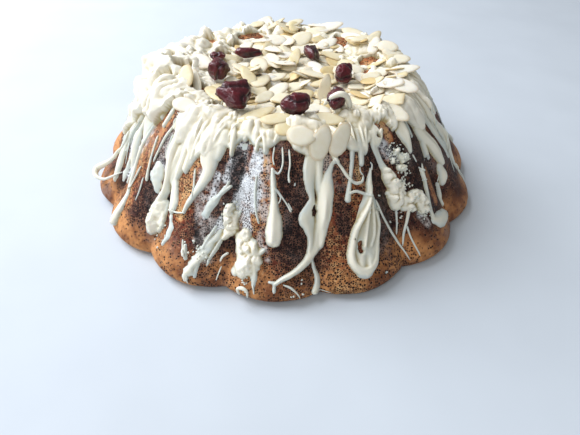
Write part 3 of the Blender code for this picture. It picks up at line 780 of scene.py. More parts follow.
def crust_material(sizes):
    """Baked sponge crust, from batter set against a metal tin: matt, full of burst bubbles about 0.6 mm wide with
    painted shade in them, golden on the ridges, darker in places, with painted light on the lobes' left flanks and
    painted shade on their right flanks, in the creases and round the right side, orange-brown at the foot, with a film
    of icing in places."""
    made, tree, place = new_material("baked_sponge_crust")
    read = {}
    for key in ("bake", "rim", "pore", "film", "flour", "torn"):
        read[key] = add_node(tree, "ShaderNodeAttribute", {"attribute_name": key}).outputs["Fac"]
    broad = add_node(tree, "ShaderNodeTexNoise", None, {"Vector": place, "Scale": 1 / 0.016, "Detail": 3.0})
    fine = add_node(tree, "ShaderNodeTexNoise", None, {"Vector": place, "Scale": 1 / 0.003, "Detail": 3.0})
    swing = add_node(tree, "ShaderNodeMath", {"operation": "MULTIPLY_ADD"},
                     {0: broad.outputs["Fac"], 1: 0.56, 2: -0.28})
    toned = add_node(tree, "ShaderNodeMath", {"operation": "ADD"}, {0: read["bake"], 1: swing.outputs[0]})
    swing = add_node(tree, "ShaderNodeMath", {"operation": "MULTIPLY_ADD"},
                     {0: fine.outputs["Fac"], 1: 0.34, 2: -0.17})
    toned = add_node(tree, "ShaderNodeMath", {"operation": "ADD"}, {0: toned.outputs[0], 1: swing.outputs[0]})
    # The ramp runs from golden crust with painted light on left flanks to dark crust with painted shade.
    base = add_node(tree, "ShaderNodeValToRGB", None, {"Fac": toned.outputs[0]})
    set_ramp(base, ((0.0, sizes.golden_and_lit), (0.25, "#AA683C"), (0.5, "#77361F"), (0.75, sizes.dark), (1.0, "#2B110F")))
    rimmed = add_node(tree, "ShaderNodeMath", {"operation": "MULTIPLY_ADD"},
                      {0: fine.outputs["Fac"], 1: 0.5, 2: -0.25})
    rimmed = add_node(tree, "ShaderNodeMath", {"operation": "ADD", "use_clamp": True},
                      {0: read["rim"], 1: rimmed.outputs[0]})
    rimmed = add_node(tree, "ShaderNodeMath", {"operation": "MULTIPLY"}, {0: rimmed.outputs[0], 1: read["rim"]})
    patch = add_node(tree, "ShaderNodeMath", {"operation": "MULTIPLY_ADD"},
                     {0: fine.outputs["Fac"], 1: 0.45, 2: broad.outputs["Fac"]})
    patch = add_node(tree, "ShaderNodeMapRange", None, {0: patch.outputs[0], 1: 0.62, 2: 0.86})
    foot = add_node(tree, "ShaderNodeMix", {"data_type": "RGBA"},
                    {0: patch.outputs[0], 6: rgba(sizes.foot), 7: rgba("#7C4A2B")})
    colour = add_node(tree, "ShaderNodeMix", {"data_type": "RGBA"},
                      {0: rimmed.outputs[0], 6: base.outputs["Color"], 7: foot.outputs[2]})
    # Burst bubbles, one in each cell of this spacing, dark inside their walls as painted shade in the holes. Those
    # whose own number is above the pore attribute stayed closed. Some stretches of wall are paler, partly paler crust
    # and partly a painted highlight on the walls.
    foam = {"Vector": place, "Scale": 1 / (sizes.bubble_spacing * MM), "Randomness": 0.9}
    cells = add_node(tree, "ShaderNodeTexVoronoi", {"feature": "F1"}, foam)
    walls = add_node(tree, "ShaderNodeTexVoronoi", {"feature": "DISTANCE_TO_EDGE"}, foam)
    number = add_node(tree, "ShaderNodeSeparateColor", None, {"Color": cells.outputs["Color"]})
    burst = add_node(tree, "ShaderNodeMath", {"operation": "SUBTRACT"}, {0: read["pore"], 1: number.outputs["Red"]})
    burst = add_node(tree, "ShaderNodeMapRange", None, {0: burst.outputs[0], 1: -0.1, 2: 0.15})
    inside = add_node(tree, "ShaderNodeMapRange", {"interpolation_type": "SMOOTHSTEP"},
                      {0: walls.outputs["Distance"], 1: 0.06, 2: 0.2})
    pitted = add_node(tree, "ShaderNodeMath", {"operation": "MULTIPLY"}, {0: inside.outputs[0], 1: burst.outputs[0]})
    grain = add_node(tree, "ShaderNodeTexNoise", None, {"Vector": place, "Scale": 1 / 0.0021, "Detail": 2.0})
    pale = add_node(tree, "ShaderNodeMapRange", None, {0: grain.outputs["Fac"], 1: 0.4, 2: 0.58})
    wall = add_node(tree, "ShaderNodeMath", {"operation": "MULTIPLY_ADD"}, {0: inside.outputs[0], 1: -0.9, 2: 0.9})
    wall = add_node(tree, "ShaderNodeMath", {"operation": "MULTIPLY"}, {0: wall.outputs[0], 1: pale.outputs[0]})
    ringed = add_node(tree, "ShaderNodeMath", {"operation": "MULTIPLY_ADD"}, {0: burst.outputs[0], 1: 0.75, 2: 0.25})
    wall = add_node(tree, "ShaderNodeMath", {"operation": "MULTIPLY"}, {0: wall.outputs[0], 1: ringed.outputs[0]})
    dry = add_node(tree, "ShaderNodeValToRGB", None, {"Fac": toned.outputs[0]})
    set_ramp(dry, ((0.0, "#F3CE94"), (0.3, "#DBA873"), (0.6, "#B27E5B"), (1.0, "#7E5747")))
    colour = add_node(tree, "ShaderNodeMix", {"data_type": "RGBA"},
                      {0: wall.outputs[0], 6: colour.outputs[2], 7: dry.outputs["Color"]})
    colour = add_node(tree, "ShaderNodeMix", {"data_type": "RGBA", "blend_type": "MULTIPLY"},
                      {0: pitted.outputs[0], 6: colour.outputs[2], 7: rgba("#38201A")})
    # Where the crust tore on the tin, larger bubbles stand open, near black, which also paints the shade of a deep
    # crease.
    torn = add_node(tree, "ShaderNodeTexVoronoi", {"feature": "DISTANCE_TO_EDGE"},
                    {"Vector": place, "Scale": 1 / 0.0024, "Randomness": 1.0})
    torn = add_node(tree, "ShaderNodeMapRange", {"interpolation_type": "SMOOTHSTEP"},
                    {0: torn.outputs["Distance"], 1: 0.06, 2: 0.2})
    torn = add_node(tree, "ShaderNodeMath", {"operation": "MULTIPLY"}, {0: torn.outputs[0], 1: read["torn"]})
    colour = add_node(tree, "ShaderNodeMix", {"data_type": "RGBA"},
                      {0: torn.outputs[0], 6: colour.outputs[2], 7: rgba("#150B0C")})
    hole = add_node(tree, "ShaderNodeMath", {"operation": "MAXIMUM"}, {0: pitted.outputs[0], 1: torn.outputs[0]})
    # Sugar dust caught on the walls.
    dust = add_node(tree, "ShaderNodeMapRange", None, {0: fine.outputs["Fac"], 1: 0.36, 2: 0.58})
    dust = add_node(tree, "ShaderNodeMath", {"operation": "MULTIPLY"}, {0: dust.outputs[0], 1: read["flour"]})
    caught = add_node(tree, "ShaderNodeMath", {"operation": "MULTIPLY_ADD"}, {0: hole.outputs[0], 1: -0.75, 2: 1.0})
    dust = add_node(tree, "ShaderNodeMath", {"operation": "MULTIPLY"}, {0: dust.outputs[0], 1: caught.outputs[0]})
    colour = add_node(tree, "ShaderNodeMix", {"data_type": "RGBA"},
                      {0: dust.outputs[0], 6: colour.outputs[2], 7: rgba("#D6CCC6")})
    # The film of icing lies on the mesh between the holes and leaves the deep ones dark.
    streak = add_node(tree, "ShaderNodeMapRange", None, {0: fine.outputs["Fac"], 1: 0.3, 2: 0.58, 3: 0.45, 4: 1.6})
    film = add_node(tree, "ShaderNodeMath", {"operation": "MULTIPLY"}, {0: read["film"], 1: streak.outputs[0]})
    kept = add_node(tree, "ShaderNodeMath", {"operation": "MULTIPLY_ADD"}, {0: hole.outputs[0], 1: -0.85, 2: 1.0})
    thick = add_node(tree, "ShaderNodeMapRange", None, {0: read["film"], 1: 0.8, 2: 1.1})
    kept = add_node(tree, "ShaderNodeMath", {"operation": "MAXIMUM"}, {0: kept.outputs[0], 1: thick.outputs[0]})
    film = add_node(tree, "ShaderNodeMath", {"operation": "MULTIPLY", "use_clamp": True},
                    {0: film.outputs[0], 1: kept.outputs[0]})
    colour = add_node(tree, "ShaderNodeMix", {"data_type": "RGBA"},
                      {0: film.outputs[0], 6: colour.outputs[2], 7: rgba("#F0F4F7")})
    height = add_node(tree, "ShaderNodeMath", {"operation": "MULTIPLY_ADD"},
                      {0: hole.outputs[0], 1: -1.0, 2: fine.outputs["Fac"]})
    bump = add_node(tree, "ShaderNodeBump", None, {"Strength": 0.8, "Distance": 0.0006, "Height": height.outputs[0]})
    shader = add_node(tree, "ShaderNodeBsdfPrincipled", None,
                      {"Base Color": colour.outputs[2], "Roughness": 0.6, "IOR": 1.33, "Normal": bump.outputs[0]})
    finish_material(tree, shader)
    return made


def icing_material(sizes):
    """White chocolate icing that has set: a fat-and-sugar paste, poured warm. It is cream where it is thick, a
    little bluish where it is thin, soft to light, and has a satin skin with faint ripples. Shade is painted into its
    hollows and over the top in a darker cream."""
    made, tree, place = new_material("set_white_icing")
    depth = add_node(tree, "ShaderNodeAttribute", {"attribute_name": "depth"}).outputs["Fac"]
    soft = add_node(tree, "ShaderNodeTexNoise", None, {"Vector": place, "Scale": 1 / 0.007, "Detail": 3.0})
    thick = add_node(tree, "ShaderNodeMapRange", None, {0: depth, 1: 0.2, 2: 2.8})
    shade = add_node(tree, "ShaderNodeMath", {"operation": "MULTIPLY_ADD"},
                     {0: soft.outputs["Fac"], 1: 0.6, 2: -0.3})
    shade = add_node(tree, "ShaderNodeMath", {"operation": "ADD"}, {0: thick.outputs[0], 1: shade.outputs[0]})
    colour = add_node(tree, "ShaderNodeValToRGB", None, {"Fac": shade.outputs[0]})
    set_ramp(colour, ((0.0, sizes.thin), (0.5, sizes.thick), (1.0, "#F6F1E0")))
    # Painted shade: the hollows and the top take a darker cream tint.
    hollow = add_node(tree, "ShaderNodeAttribute", {"attribute_name": "hollow"}).outputs["Fac"]
    colour = add_node(tree, "ShaderNodeMix", {"data_type": "RGBA"},
                      {0: hollow, 6: colour.outputs["Color"], 7: rgba(sizes.hollow)})
    ripple = add_node(tree, "ShaderNodeTexNoise", None, {"Vector": place, "Scale": 1 / 0.0016, "Detail": 2.0})
    bump = add_node(tree, "ShaderNodeBump", None,
                    {"Strength": 0.35, "Distance": 0.0003, "Height": ripple.outputs["Fac"]})
    shader = add_node(tree, "ShaderNodeBsdfPrincipled", None,
                      {"Base Color": colour.outputs[2], "Roughness": 0.4, "IOR": 1.46,
                       "Subsurface Weight": 0.12, "Subsurface Radius": (1.0, 0.85, 0.6), "Subsurface Scale": 0.0016,
                       "Normal": bump.outputs[0]})
    finish_material(tree, shader)
    return made


def almond_material(sizes):
    """Flaked almond, sliced thin from blanched nuts: ivory, dry and satin, a little waxy, yellower and browner along
    the cut edge, with a faint mottle."""
    made, tree, place = new_material("sliced_almond")
    tone = add_node(tree, "ShaderNodeAttribute", {"attribute_name": "tone"}).outputs["Fac"]
    edge = add_node(tree, "ShaderNodeAttribute", {"attribute_name": "edge"}).outputs["Fac"]
    mottle = add_node(tree, "ShaderNodeTexNoise", None, {"Vector": place, "Scale": 1 / 0.0035, "Detail": 3.0})
    swing = add_node(tree, "ShaderNodeMath", {"operation": "MULTIPLY_ADD"},
                     {0: mottle.outputs["Fac"], 1: 0.5, 2: -0.25})
    toned = add_node(tree, "ShaderNodeMath", {"operation": "ADD"}, {0: tone, 1: swing.outputs[0]})
    colour = add_node(tree, "ShaderNodeValToRGB", None, {"Fac": toned.outputs[0]})
    set_ramp(colour, ((0.0, sizes.pale), (0.5, "#E6DDC0"), (0.8, "#DDCD9F"), (1.0, sizes.golden)))
    rim = add_node(tree, "ShaderNodeMapRange", {"interpolation_type": "SMOOTHSTEP"}, {0: edge, 1: 0.6, 2: 1.0, 4: 0.4})
    colour = add_node(tree, "ShaderNodeMix", {"data_type": "RGBA"},
                      {0: rim.outputs[0], 6: colour.outputs["Color"], 7: rgba(sizes.rim)})
    bump = add_node(tree, "ShaderNodeBump", None,
                    {"Strength": 0.25, "Distance": 0.0002, "Height": mottle.outputs["Fac"]})
    shader = add_node(tree, "ShaderNodeBsdfPrincipled", None,
                      {"Base Color": colour.outputs[2], "Roughness": 0.45, "IOR": 1.47,
                       "Subsurface Weight": 0.15, "Subsurface Radius": (1.0, 0.8, 0.5), "Subsurface Scale": 0.001,
                       "Normal": bump.outputs[0]})
    finish_material(tree, shader)
    return made


def cranberry_material(sizes):
    """Dried cranberry, sugared and oiled: a dark red, wrinkled, translucent skin with a wet shine, painted near black
    as shade in its folds and painted brighter red as light on its raised wrinkles."""
    made, tree, place = new_material("dried_cranberry_skin")
    fold = add_node(tree, "ShaderNodeAttribute", {"attribute_name": "fold"}).outputs["Fac"]
    mottle = add_node(tree, "ShaderNodeTexNoise", None, {"Vector": place, "Scale": 1 / 0.004, "Detail": 3.0})
    swing = add_node(tree, "ShaderNodeMath", {"operation": "MULTIPLY_ADD"},
                     {0: mottle.outputs["Fac"], 1: 0.8, 2: -0.4})
    toned = add_node(tree, "ShaderNodeMath", {"operation": "ADD"}, {0: fold, 1: swing.outputs[0]})
    colour = add_node(tree, "ShaderNodeValToRGB", None, {"Fac": toned.outputs[0]})
    # From painted shade in the folds, through the skin's own red, to painted light on the raised wrinkles.
    set_ramp(colour, ((0.0, "#22060B"), (0.5, sizes.skin), (1.0, "#621A22")))
    fine = add_node(tree, "ShaderNodeTexNoise", None, {"Vector": place, "Scale": 1 / 0.0017, "Detail": 3.0})
    bump = add_node(tree, "ShaderNodeBump", None, {"Strength": 0.8, "Distance": 0.0007, "Height": fine.outputs["Fac"]})
    shader = add_node(tree, "ShaderNodeBsdfPrincipled", None,
                      {"Base Color": colour.outputs["Color"], "Roughness": 0.28, "IOR": 1.4,
                       "Subsurface Weight": 0.1, "Subsurface Radius": (1.0, 0.2, 0.15), "Subsurface Scale": 0.001,
                       "Coat Weight": 0.35, "Coat Roughness": 0.12, "Normal": bump.outputs[0]})
    finish_material(tree, shader)
    return made


def floor_material(sizes):
    """Painted board, matt and pale, with the faintest mottle."""
    made, tree, place = new_material("pale_painted_board")
    mottle = add_node(tree, "ShaderNodeTexNoise", None, {"Vector": place, "Scale": 1 / 0.05, "Detail": 2.0})
    colour = add_node(tree, "ShaderNodeMix", {"data_type": "RGBA"},
                      {0: mottle.outputs["Fac"], 6: rgba(sizes.floor), 7: rgba("#BFC7CE")})
    shader = add_node(tree, "ShaderNodeBsdfPrincipled", None, {"Base Color": colour.outputs[2], "Roughness": 0.75})
    finish_material(tree, shader)
    return made


# ---------------------------------------------------------------- crust

# Bands of colour on the front of the crust, as strokes of angle, reach and width. The dark bands are partly darker
# crust and partly painted shade; the golden bands are partly golden crust and partly painted light on left flanks.
DARK_AND_SHADED_BANDS = (
    ((-47.5, 34, 7), (-45.5, 48, 9), (-44, 58, 7)),
    ((-16.8, 20, 8), (-16, 34, 9), (-16, 50, 9), (-13, 63, 8)),
    (1.5, ((-1, 18, 8), (2, 34, 14), (4, 50, 14), (5, 62, 10))),
    ((17.2, 20, 6), (17.2, 34, 8), (16.6, 50, 8)),
    ((26.5, 14, 6), (26, 22, 5)),
    ((39, 22, 6), (41.6, 32, 9), (42.6, 44, 8)),
    ((-22, 56, 6), (-21, 66, 6)),
    (0.8, ((29.6, 38, 5), (31, 52, 7), (32, 64, 6))),
)
GOLDEN_AND_LIT_BANDS = (
    ((-57.4, 38, 6), (-57.4, 52, 7), (-52, 62, 9)),
    ((-52, 14, 5), (-51.6, 26, 5), (-51, 38, 4)),
    ((-32, 22, 5), (-31, 36, 6), (-31.5, 52, 8)),
    ((-7.4, 12, 4), (-6.6, 20, 6)),
    ((23.6, 20, 5), (24, 31, 5)),
    (0.5, ((13.6, 50, 5), (14, 58, 7), (15, 64, 6))),
    ((40, 8, 6), (40.5, 17, 6)),
    ((53, 44, 9), (53, 58, 9)),
)
FLOUR_BANDS = (
    ((-27, 30, 7), (-24, 44, 11), (-21, 58, 10)),
    ((-9, 16, 8), (-8, 28, 10), (-6.4, 42, 8)),
    ((-23, 60, 7), (-20, 67, 6)),
    ((-13, 44, 8), (-12, 54, 7)),
    ((-6, 50, 6), (-5, 60, 5)),
    ((43, 58, 6), (44, 63, 5)),
    ((-46, 20, 6), (-46, 30, 8), (-45, 40, 8)),
    ((-58, 26, 5), (-60, 40, 6)),
)
FILM_BANDS = (
    # Each a strength and its stations.
    (1.0, ((-13.4, 29, 6.5), (-12.8, 34, 7))),
    (0.95, ((-13.6, 34, 7), (-14.8, 42, 7.4), (-17.4, 50, 6.6), (-20, 58, 5.6), (-21.4, 64, 5))),
    (0.95, ((-10.4, 14, 5), (-10.4, 23, 7), (-9.8, 32, 7), (-9.4, 40, 5))),
    (0.8, ((-12.2, 38, 5), (-11, 47, 5), (-10.6, 53, 5))),
    (0.65, ((-17.8, 12, 5), (-18.4, 20, 5), (-19.4, 30, 4))),
    (0.6, ((-22.6, 28, 3), (-22, 38, 4.4), (-23, 48, 3))),
    (0.2, ((-17, 14, 9), (-16, 30, 10))),
    (0.8, ((-70, 30, 8), (-67, 40, 9), (-65, 50, 7), (-63, 60, 4))),
    (0.5, ((36.4, 18, 7), (39, 24, 9), (42, 29, 7))),
    (0.7, ((43.6, 50, 6), (43, 57, 5))),
    (0.5, ((-45, 36, 7), (-44.4, 44, 7))),
    (0.3, ((12.6, 18, 8), (12, 26, 8))),
)
# Torn crust, darkened also as painted shade in a deep crease: strokes of angle, reach and width.
TORN_AND_SHADED_BANDS = (
    ((-17.4, 18, 6), (-16.6, 25, 7.4), (-16.4, 33, 6)),
    ((-24.4, 56, 4), (-22.6, 62, 5)),
    ((41, 22, 5), (43, 28, 7), (42, 34, 5)),
)
CRUST_TOP_ROWS = 26
CRUST_SIDE_ROW = 0.8
CRUST_FRONT_COLUMNS = 500
CRUST_BACK_COLUMNS = 190


def crust_grid():
    """Angles and reaches of the crust's rings: close together at the front, wider at the back and on top."""
    low, high = FRONT_ANGLES
    angles = np.concatenate([np.linspace(low, high, CRUST_FRONT_COLUMNS, endpoint=False),
                             np.linspace(high, low + 360, CRUST_BACK_COLUMNS, endpoint=False)])
    reaches = np.concatenate([np.linspace(TOP_REACH, 0, CRUST_TOP_ROWS, endpoint=False)[1:],
                              np.arange(0, EDGE_REACH, CRUST_SIDE_ROW)])
    return angles, reaches


def band_layer(angles, reaches, bands, soft=0.8):
    layer = Layer(angles, reaches, 0.0)
    for i, band in enumerate(bands):
        strength, stations = band if isinstance(band[0], float) else (1.0, band)
        layer.paint(stations, strength, 0.3, 900 + i, soft)
    return layer.value


def crust_tones(angles, reaches):
    """What the crust's material reads at each point: its browning with painted light and shade, rim, pore, film, flour,
    and torn crust with painted crease shade.
    """
    turned, reached = np.meshgrid(angles, reaches)
    places = crust_points(turned, reached)
    phase = lobe_phase(turned)
    # Browning with painted light and shade in it: each lobe's left flank is painted lighter, as lit, its right flank
    # darker, as shaded, and its creases darker still, as painted crease shade.
    bake = 0.58 + 0.26 * np.tanh(2.4 * phase) + 0.28 * ramp(np.abs(phase), 0.72, 1.0)
    bake += 0.2 * layered_noise(places, 16, 21) + 0.1 * noise(places, 5, 24)
    # dark: darker crust with painted shade; golden: golden crust with painted light.
    dark = band_layer(angles, reaches, DARK_AND_SHADED_BANDS)
    golden = band_layer(angles, reaches, GOLDEN_AND_LIT_BANDS)
    bake = bake + 0.35 * dark * (1 - bake) + 0.2 * dark
    bake = bake * (1 - 0.85 * golden) + 0.12 * golden
    bake = bake + 0.16 * ramp(reached, 40, 52) * (1 - ramp(reached, 58, 68)) * (1 - golden) * (np.abs(turned) < 40)
    # Painted shade over the front's right side, which is turned away from the light.
    bake = bake + 0.42 * ramp(turned, 24, 46) * (1 - ramp(turned, 100, 130)) * (1 - golden)
    bake = np.where(reached < 4, 0.3 + 0.25 * noise(places, 9, 26), bake)
    rim = ramp(reached + 4 * noise(places, 14, 27) + 2 * noise(places, 5, 28), 58, 70)
    pore = 0.85 + 0.25 * dark - 0.15 * golden - 0.2 * rim + 0.4 * noise(places, 10, 29)
    pore = pore - 0.5 * (ramp(turned, 30, 50) + ramp(-turned, 16, 36)) * rim - 0.25 * ramp(turned, 24, 44)
    film = band_layer(angles, reaches, FILM_BANDS)
    flour = 0.85 * band_layer(angles, reaches, FLOUR_BANDS) + 0.16 * ramp(noise(places, 12, 31), 0.1, 0.8)
    torn = band_layer(angles, reaches, TORN_AND_SHADED_BANDS)
    # Torn places are darkened further, as painted crease shade.
    bake = bake + 0.5 * torn
    film = film * (1 - 0.75 * torn)
    flour = flour * (1 - 0.6 * torn)
    return {"bake": bake, "rim": rim, "pore": np.clip(pore, 0.1, 1), "film": film, "flour": flour, "torn": torn}


def crust_relief(places):
    """The crust's unevenness, nearly all of it inwards."""
    swell = 0.34 * noise(places, 17, 33) + 0.2 * noise(places, 6, 34) + 0.12 * noise(places, 2.2, 35)
    return np.clip(swell - 0.22, -0.72, 0.1)


def build_crust(settings):
    angles, reaches = crust_grid()
    turned, reached = np.meshgrid(angles, reaches)
    lift = crust_relief(crust_points(turned, reached)) * ramp(EDGE_REACH - reached, 0, 6)
    rings = crust_points(turned, reached, lift)
    rows, columns = turned.shape
    index = np.arange(rows * columns).reshape(rows, columns)
    after = np.roll(index, -1, axis=1)
    quads = np.stack([index[:-1], index[1:], after[1:], after[:-1]], -1).reshape(-1, 4)
    crown, foot = rows * columns, rows * columns + 1
    top = np.stack([np.full(columns, crown), index[0], after[0]], 1)
    bottom = np.stack([after[-1], index[-1], np.full(columns, foot)], 1)
    points = np.concatenate([rings.reshape(-1, 3), [crust_points(0.0, TOP_REACH), (0.0, 0.0, 0.0)]])
    tones = {key: np.append(values.ravel(), [values[0, 0], values[-1, 0]])
             for key, values in crust_tones(angles, reaches).items()}
    made = add_mesh("baked_crust", points, np.concatenate([triangles_of(quads), top, bottom]), tones)
    made.data.materials.append(crust_material(settings))
    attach(made, BODY)
    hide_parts("cake")


# ---------------------------------------------------------------- icing

FRONT_TRIANGLES = 196000
BACK_TRIANGLES = 120000
TOP_TRIANGLES = 110000
HOLLOW_REACH = 1.5
HOLLOW_DEPTH = 0.65
# How much painted shade, in the hollows' darker cream tint, the icing takes everywhere on top, away from the heaped
# shoulder.
TOP_SHADE_SHARE = 0.32


def hollows(layer):
    """How much painted shade each place takes: how far it lies below the icing around it, as a share of the depth at
    which it looks shaded, with more over the top away from the heaped shoulder.
    """
    value = np.clip(layer.value, -0.2, None)
    row = layer.reaches[1] - layer.reaches[0]
    column = layer.per_degree.mean() * (layer.angles[1] - layer.angles[0])
    around = value
    for axis, step in ((0, row), (1, column)):
        reach = max(1, int(round(HOLLOW_REACH / step)))
        padding = [(0, 0), (0, 0)]
        padding[axis] = (reach + 1, reach)
        total = np.cumsum(np.pad(around, padding, mode="edge"), axis)
        size = value.shape[axis]
        upper = np.take(total, np.arange(2 * reach + 1, 2 * reach + 1 + size), axis)
        around = (upper - np.take(total, np.arange(size), axis)) / (2 * reach + 1)
    away = wrapped(layer.angles - HEAP_ANGLE)[None, :] / HEAP_SPREAD
    # Painted shade over the top, away from the heaped shoulder.
    cream = TOP_SHADE_SHARE * (1 - ramp(layer.reaches, 2, 16))[:, None] * (1 - np.exp(-away ** 2))
    return np.clip((around - value) / HOLLOW_DEPTH + cream, 0, 1)


def build_icing(settings):
    look = icing_material(settings)
    layers = laid_layers()
    plan = (("icing_front", layers["front"], False, FRONT_TRIANGLES), ("icing_back", layers["back"], False, BACK_TRIANGLES),
            ("icing_top", layers["top"], True, TOP_TRIANGLES))
    for name, layer, closed_round, most in plan:
        made = sheet_solid(name, layer.angles, layer.reaches, layer.value, UNDERSIDE, closed_round,
                           {"depth": layer.value, "hollow": hollows(layer)})
        if closed_round:
            weld = made.modifiers.new("pole", "WELD")
            weld.merge_threshold = 1e-6
        made = thinned(made, most)
        made.data.materials.clear()
        made.data.materials.append(look)
        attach(made, BODY)
        if name == "icing_front":
            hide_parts("icing")


# Thin strands of icing: stations of angle, reach, thickness and, where it stands free, lift.
THREADS = (
    ((15.6, 21, 1.4), (16.2, 19, 1.5), (17.8, 22, 1.4), (19.2, 26, 1.6), (20.6, 29, 1.4), (22.2, 30.6, 1.5),
     (24.2, 30.4, 1.2), (25.2, 28, 0.7)),
    ((25, 28, 0.7), (24.4, 26, 0.6), (24.6, 24, 0.5)),
    ((19.2, 34.2, 1.3), (21.6, 34, 1.3), (24, 36, 1.4), (26.2, 38, 1.3)),
    ((28.8, 27.6, 0.9), (29.6, 25.6, 0.7), (29.2, 24, 0.5)),
    ((0, 72, 0.7), (2, 74, 1.1), (3.6, 77.4, 0.7), (4.2, 80, 0.5)),
    ((7.6, 78.6, 0.7), (9.4, 79.6, 0.5), (12, 80.4, 0.3)),
    ((27.8, 41, 1.0), (29, 48, 1.0), (31, 57, 1.1), (33, 66, 1.2), (34.2, 72, 0.9), (35.2, 77.6, 0.5)),
    ((35.2, 51, 1.2), (34.8, 57, 0.9), (33.8, 64, 0.8)),
    ((39, 52, 1.8), (37.4, 58, 1.5), (35.6, 64, 1.2), (34.4, 70, 0.7)),
    ((37.2, 60, 1.0), (37.2, 67, 0.9), (38, 76.4, 0.7)),
    ((47.6, 29, 0.9), (48.2, 33.4, 0.6)),
    ((48.2, 36, 0.6), (49.4, 39, 1.2), (51.2, 36.4, 0.5)),
    ((49, 43.4, 0.8), (47.4, 42.6, 0.5)),
    ((59, 55, 0.7), (60.6, 52, 0.4)),
    ((0.6, 13, 0.9), (1, 19, 0.8), (0.6, 24, 0.8), (0.9, 27.4, 1.3)),
    ((-3, 30, 0.9), (0, 36, 0.7), (1.6, 40.2, 1.1)),
    ((0.6, 36, 0.5), (1.8, 39.4, 0.8)),
    ((-3.4, 30, 0.8), (-1.6, 33.6, 0.7), (-2.2, 36.4, 0.6)),
    ((-52.4, 25, 1.2), (-51, 32, 1.0), (-49, 41, 1.2), (-47.6, 46.4, 1.8)),
    ((-46.6, 13, 1.2), (-48.2, 22, 1.4), (-48.4, 30, 1.1), (-48.4, 36.4, 1.0)),
    ((-44.8, 20, 1.0), (-45, 28, 0.8), (-44, 32, 0.6)),
    ((-49.8, 46, 0.9), (-49.2, 53, 0.8), (-49.2, 58.4, 0.6)),
    ((-30.6, 29, 1.1), (-29.2, 36, 0.9), (-28.2, 41.4, 0.5)),
    ((-36, 53.6, 0.9), (-33.4, 52.4, 0.9), (-29.6, 49.4, 0.7)),
    ((-27.8, 61, 0.8), (-26.8, 65, 1.2), (-25.6, 68, 1.6)),
    ((-15, 64.6, 1.2), (-16.2, 66, 1.1), (-16.6, 68.4, 0.8)),
    ((-16, 70.6, 0.7), (-16.6, 77, 0.6)),
    ((-10, 79, 1.0, 1.4), (-10.6, 77, 1.4, 2.0), (-9.4, 75.8, 1.8, 2.2), (-8.2, 76.6, 1.3, 2.0), (-8, 79, 0.8, 1.6)),
    ((-1.8, 12, 0.9), (-1.4, 19, 0.8), (-2.6, 23.4, 0.9), (-4.6, 22, 1.1)),
    ((-4.6, 12, 0.8), (-4.8, 17, 0.7), (-4.2, 20, 0.7)),
    ((-23.4, 76, 1.0), (-23.2, 80, 0.5)),
    ((-7, 73.6, 1.1), (-6.6, 77.6, 0.5)),
    ((-53.4, 43, 1.2), (-54.4, 52, 1.0), (-55, 58, 0.8)),
    ((18.6, -6.4, 2.0, 6), (22, -4.2, 2.5, 10), (25.5, -2.8, 2.9, 11.4), (28.6, -2.2, 2.6, 9.4), (30.6, -1.8, 2.4, 4)),
    ((-71.5, 48, 1.6, 0.8), (-72, 53.3, 1.9, 2.0), (-72, 57.4, 2.2, 2.4), (-73, 63.6, 3.0, 3.3), (-74, 69.6, 3.7, 4.9),
     (-73, 72, 3.4, 5.2), (-71, 72.3, 2.2, 4.4), (-69, 70.3, 1.6, 3.0), (-67, 66.4, 1.4, 3.0), (-66, 63, 1.2, 2.4),
     (-65.6, 60, 0.8, 0.8)),
)
THREAD_SIDES = 8
THREAD_STEPS = 6
BACK_THREADS = 34
BACK_THREAD_SEED = 17


def back_threads():
    """Strands round the sides and back, thrown down at seeded places."""
    draw = np.random.default_rng(BACK_THREAD_SEED)
    made = []
    for i in range(BACK_THREADS):
        angle = 66 + 230 * (i + draw.uniform(0.1, 0.9)) / BACK_THREADS
        start = draw.uniform(16, 40)
        length = draw.uniform(12, 34)
        lean = draw.uniform(-6, 6)
        thick = draw.uniform(0.8, 1.8)
        bend = draw.uniform(-2, 2)
        stations = [(angle + lean * share + bend * math.sin(math.pi * share), start + length * share,
                     thick * (1 - 0.6 * share)) for share in (0.0, 0.3, 0.65, 1.0)]
        made.append(stations)
    return made


def thread_tree(look):
    """Strands along the input's lines: a round profile as thick as each point's bead, with its ends closed."""
    tree = bpy.data.node_groups.new("icing strand", "GeometryNodeTree")
    tree.interface.new_socket("Geometry", in_out="INPUT", socket_type="NodeSocketGeometry")
    for name, kind in (("Thickness", "NodeSocketFloat"), ("Sides", "NodeSocketInt"), ("Icing", "NodeSocketMaterial")):
        tree.interface.new_socket(name, in_out="INPUT", socket_type=kind)
    tree.interface.new_socket("Geometry", in_out="OUTPUT", socket_type="NodeSocketGeometry")
    given = add_node(tree, "NodeGroupInput").outputs
    line = add_node(tree, "GeometryNodeMeshToCurve", None, {"Mesh": given["Geometry"]})
    ring = add_node(tree, "GeometryNodeCurvePrimitiveCircle", None, {"Resolution": given["Sides"], "Radius": 0.5})
    bead = add_node(tree, "GeometryNodeInputNamedAttribute", {"data_type": "FLOAT"}, {"Name": "bead"})
    wide = add_node(tree, "ShaderNodeMath", {"operation": "MULTIPLY"},
                    {0: bead.outputs["Attribute"], 1: given["Thickness"]})
    tube = add_node(tree, "GeometryNodeCurveToMesh", None,
                    {"Curve": line.outputs[0], "Profile Curve": ring.outputs["Curve"], "Scale": wide.outputs[0],
                     "Fill Caps": True})
    round_off = add_node(tree, "GeometryNodeSetShadeSmooth", None, {"Geometry": tube.outputs[0]})
    real = add_node(tree, "GeometryNodeRealizeInstances", None, {"Geometry": round_off.outputs[0]})
    dressed = add_node(tree, "GeometryNodeSetMaterial", None,
                       {"Geometry": real.outputs[0], "Material": given["Icing"]})
    add_node(tree, "NodeGroupOutput", None, {"Geometry": dressed.outputs[0]})
    return tree


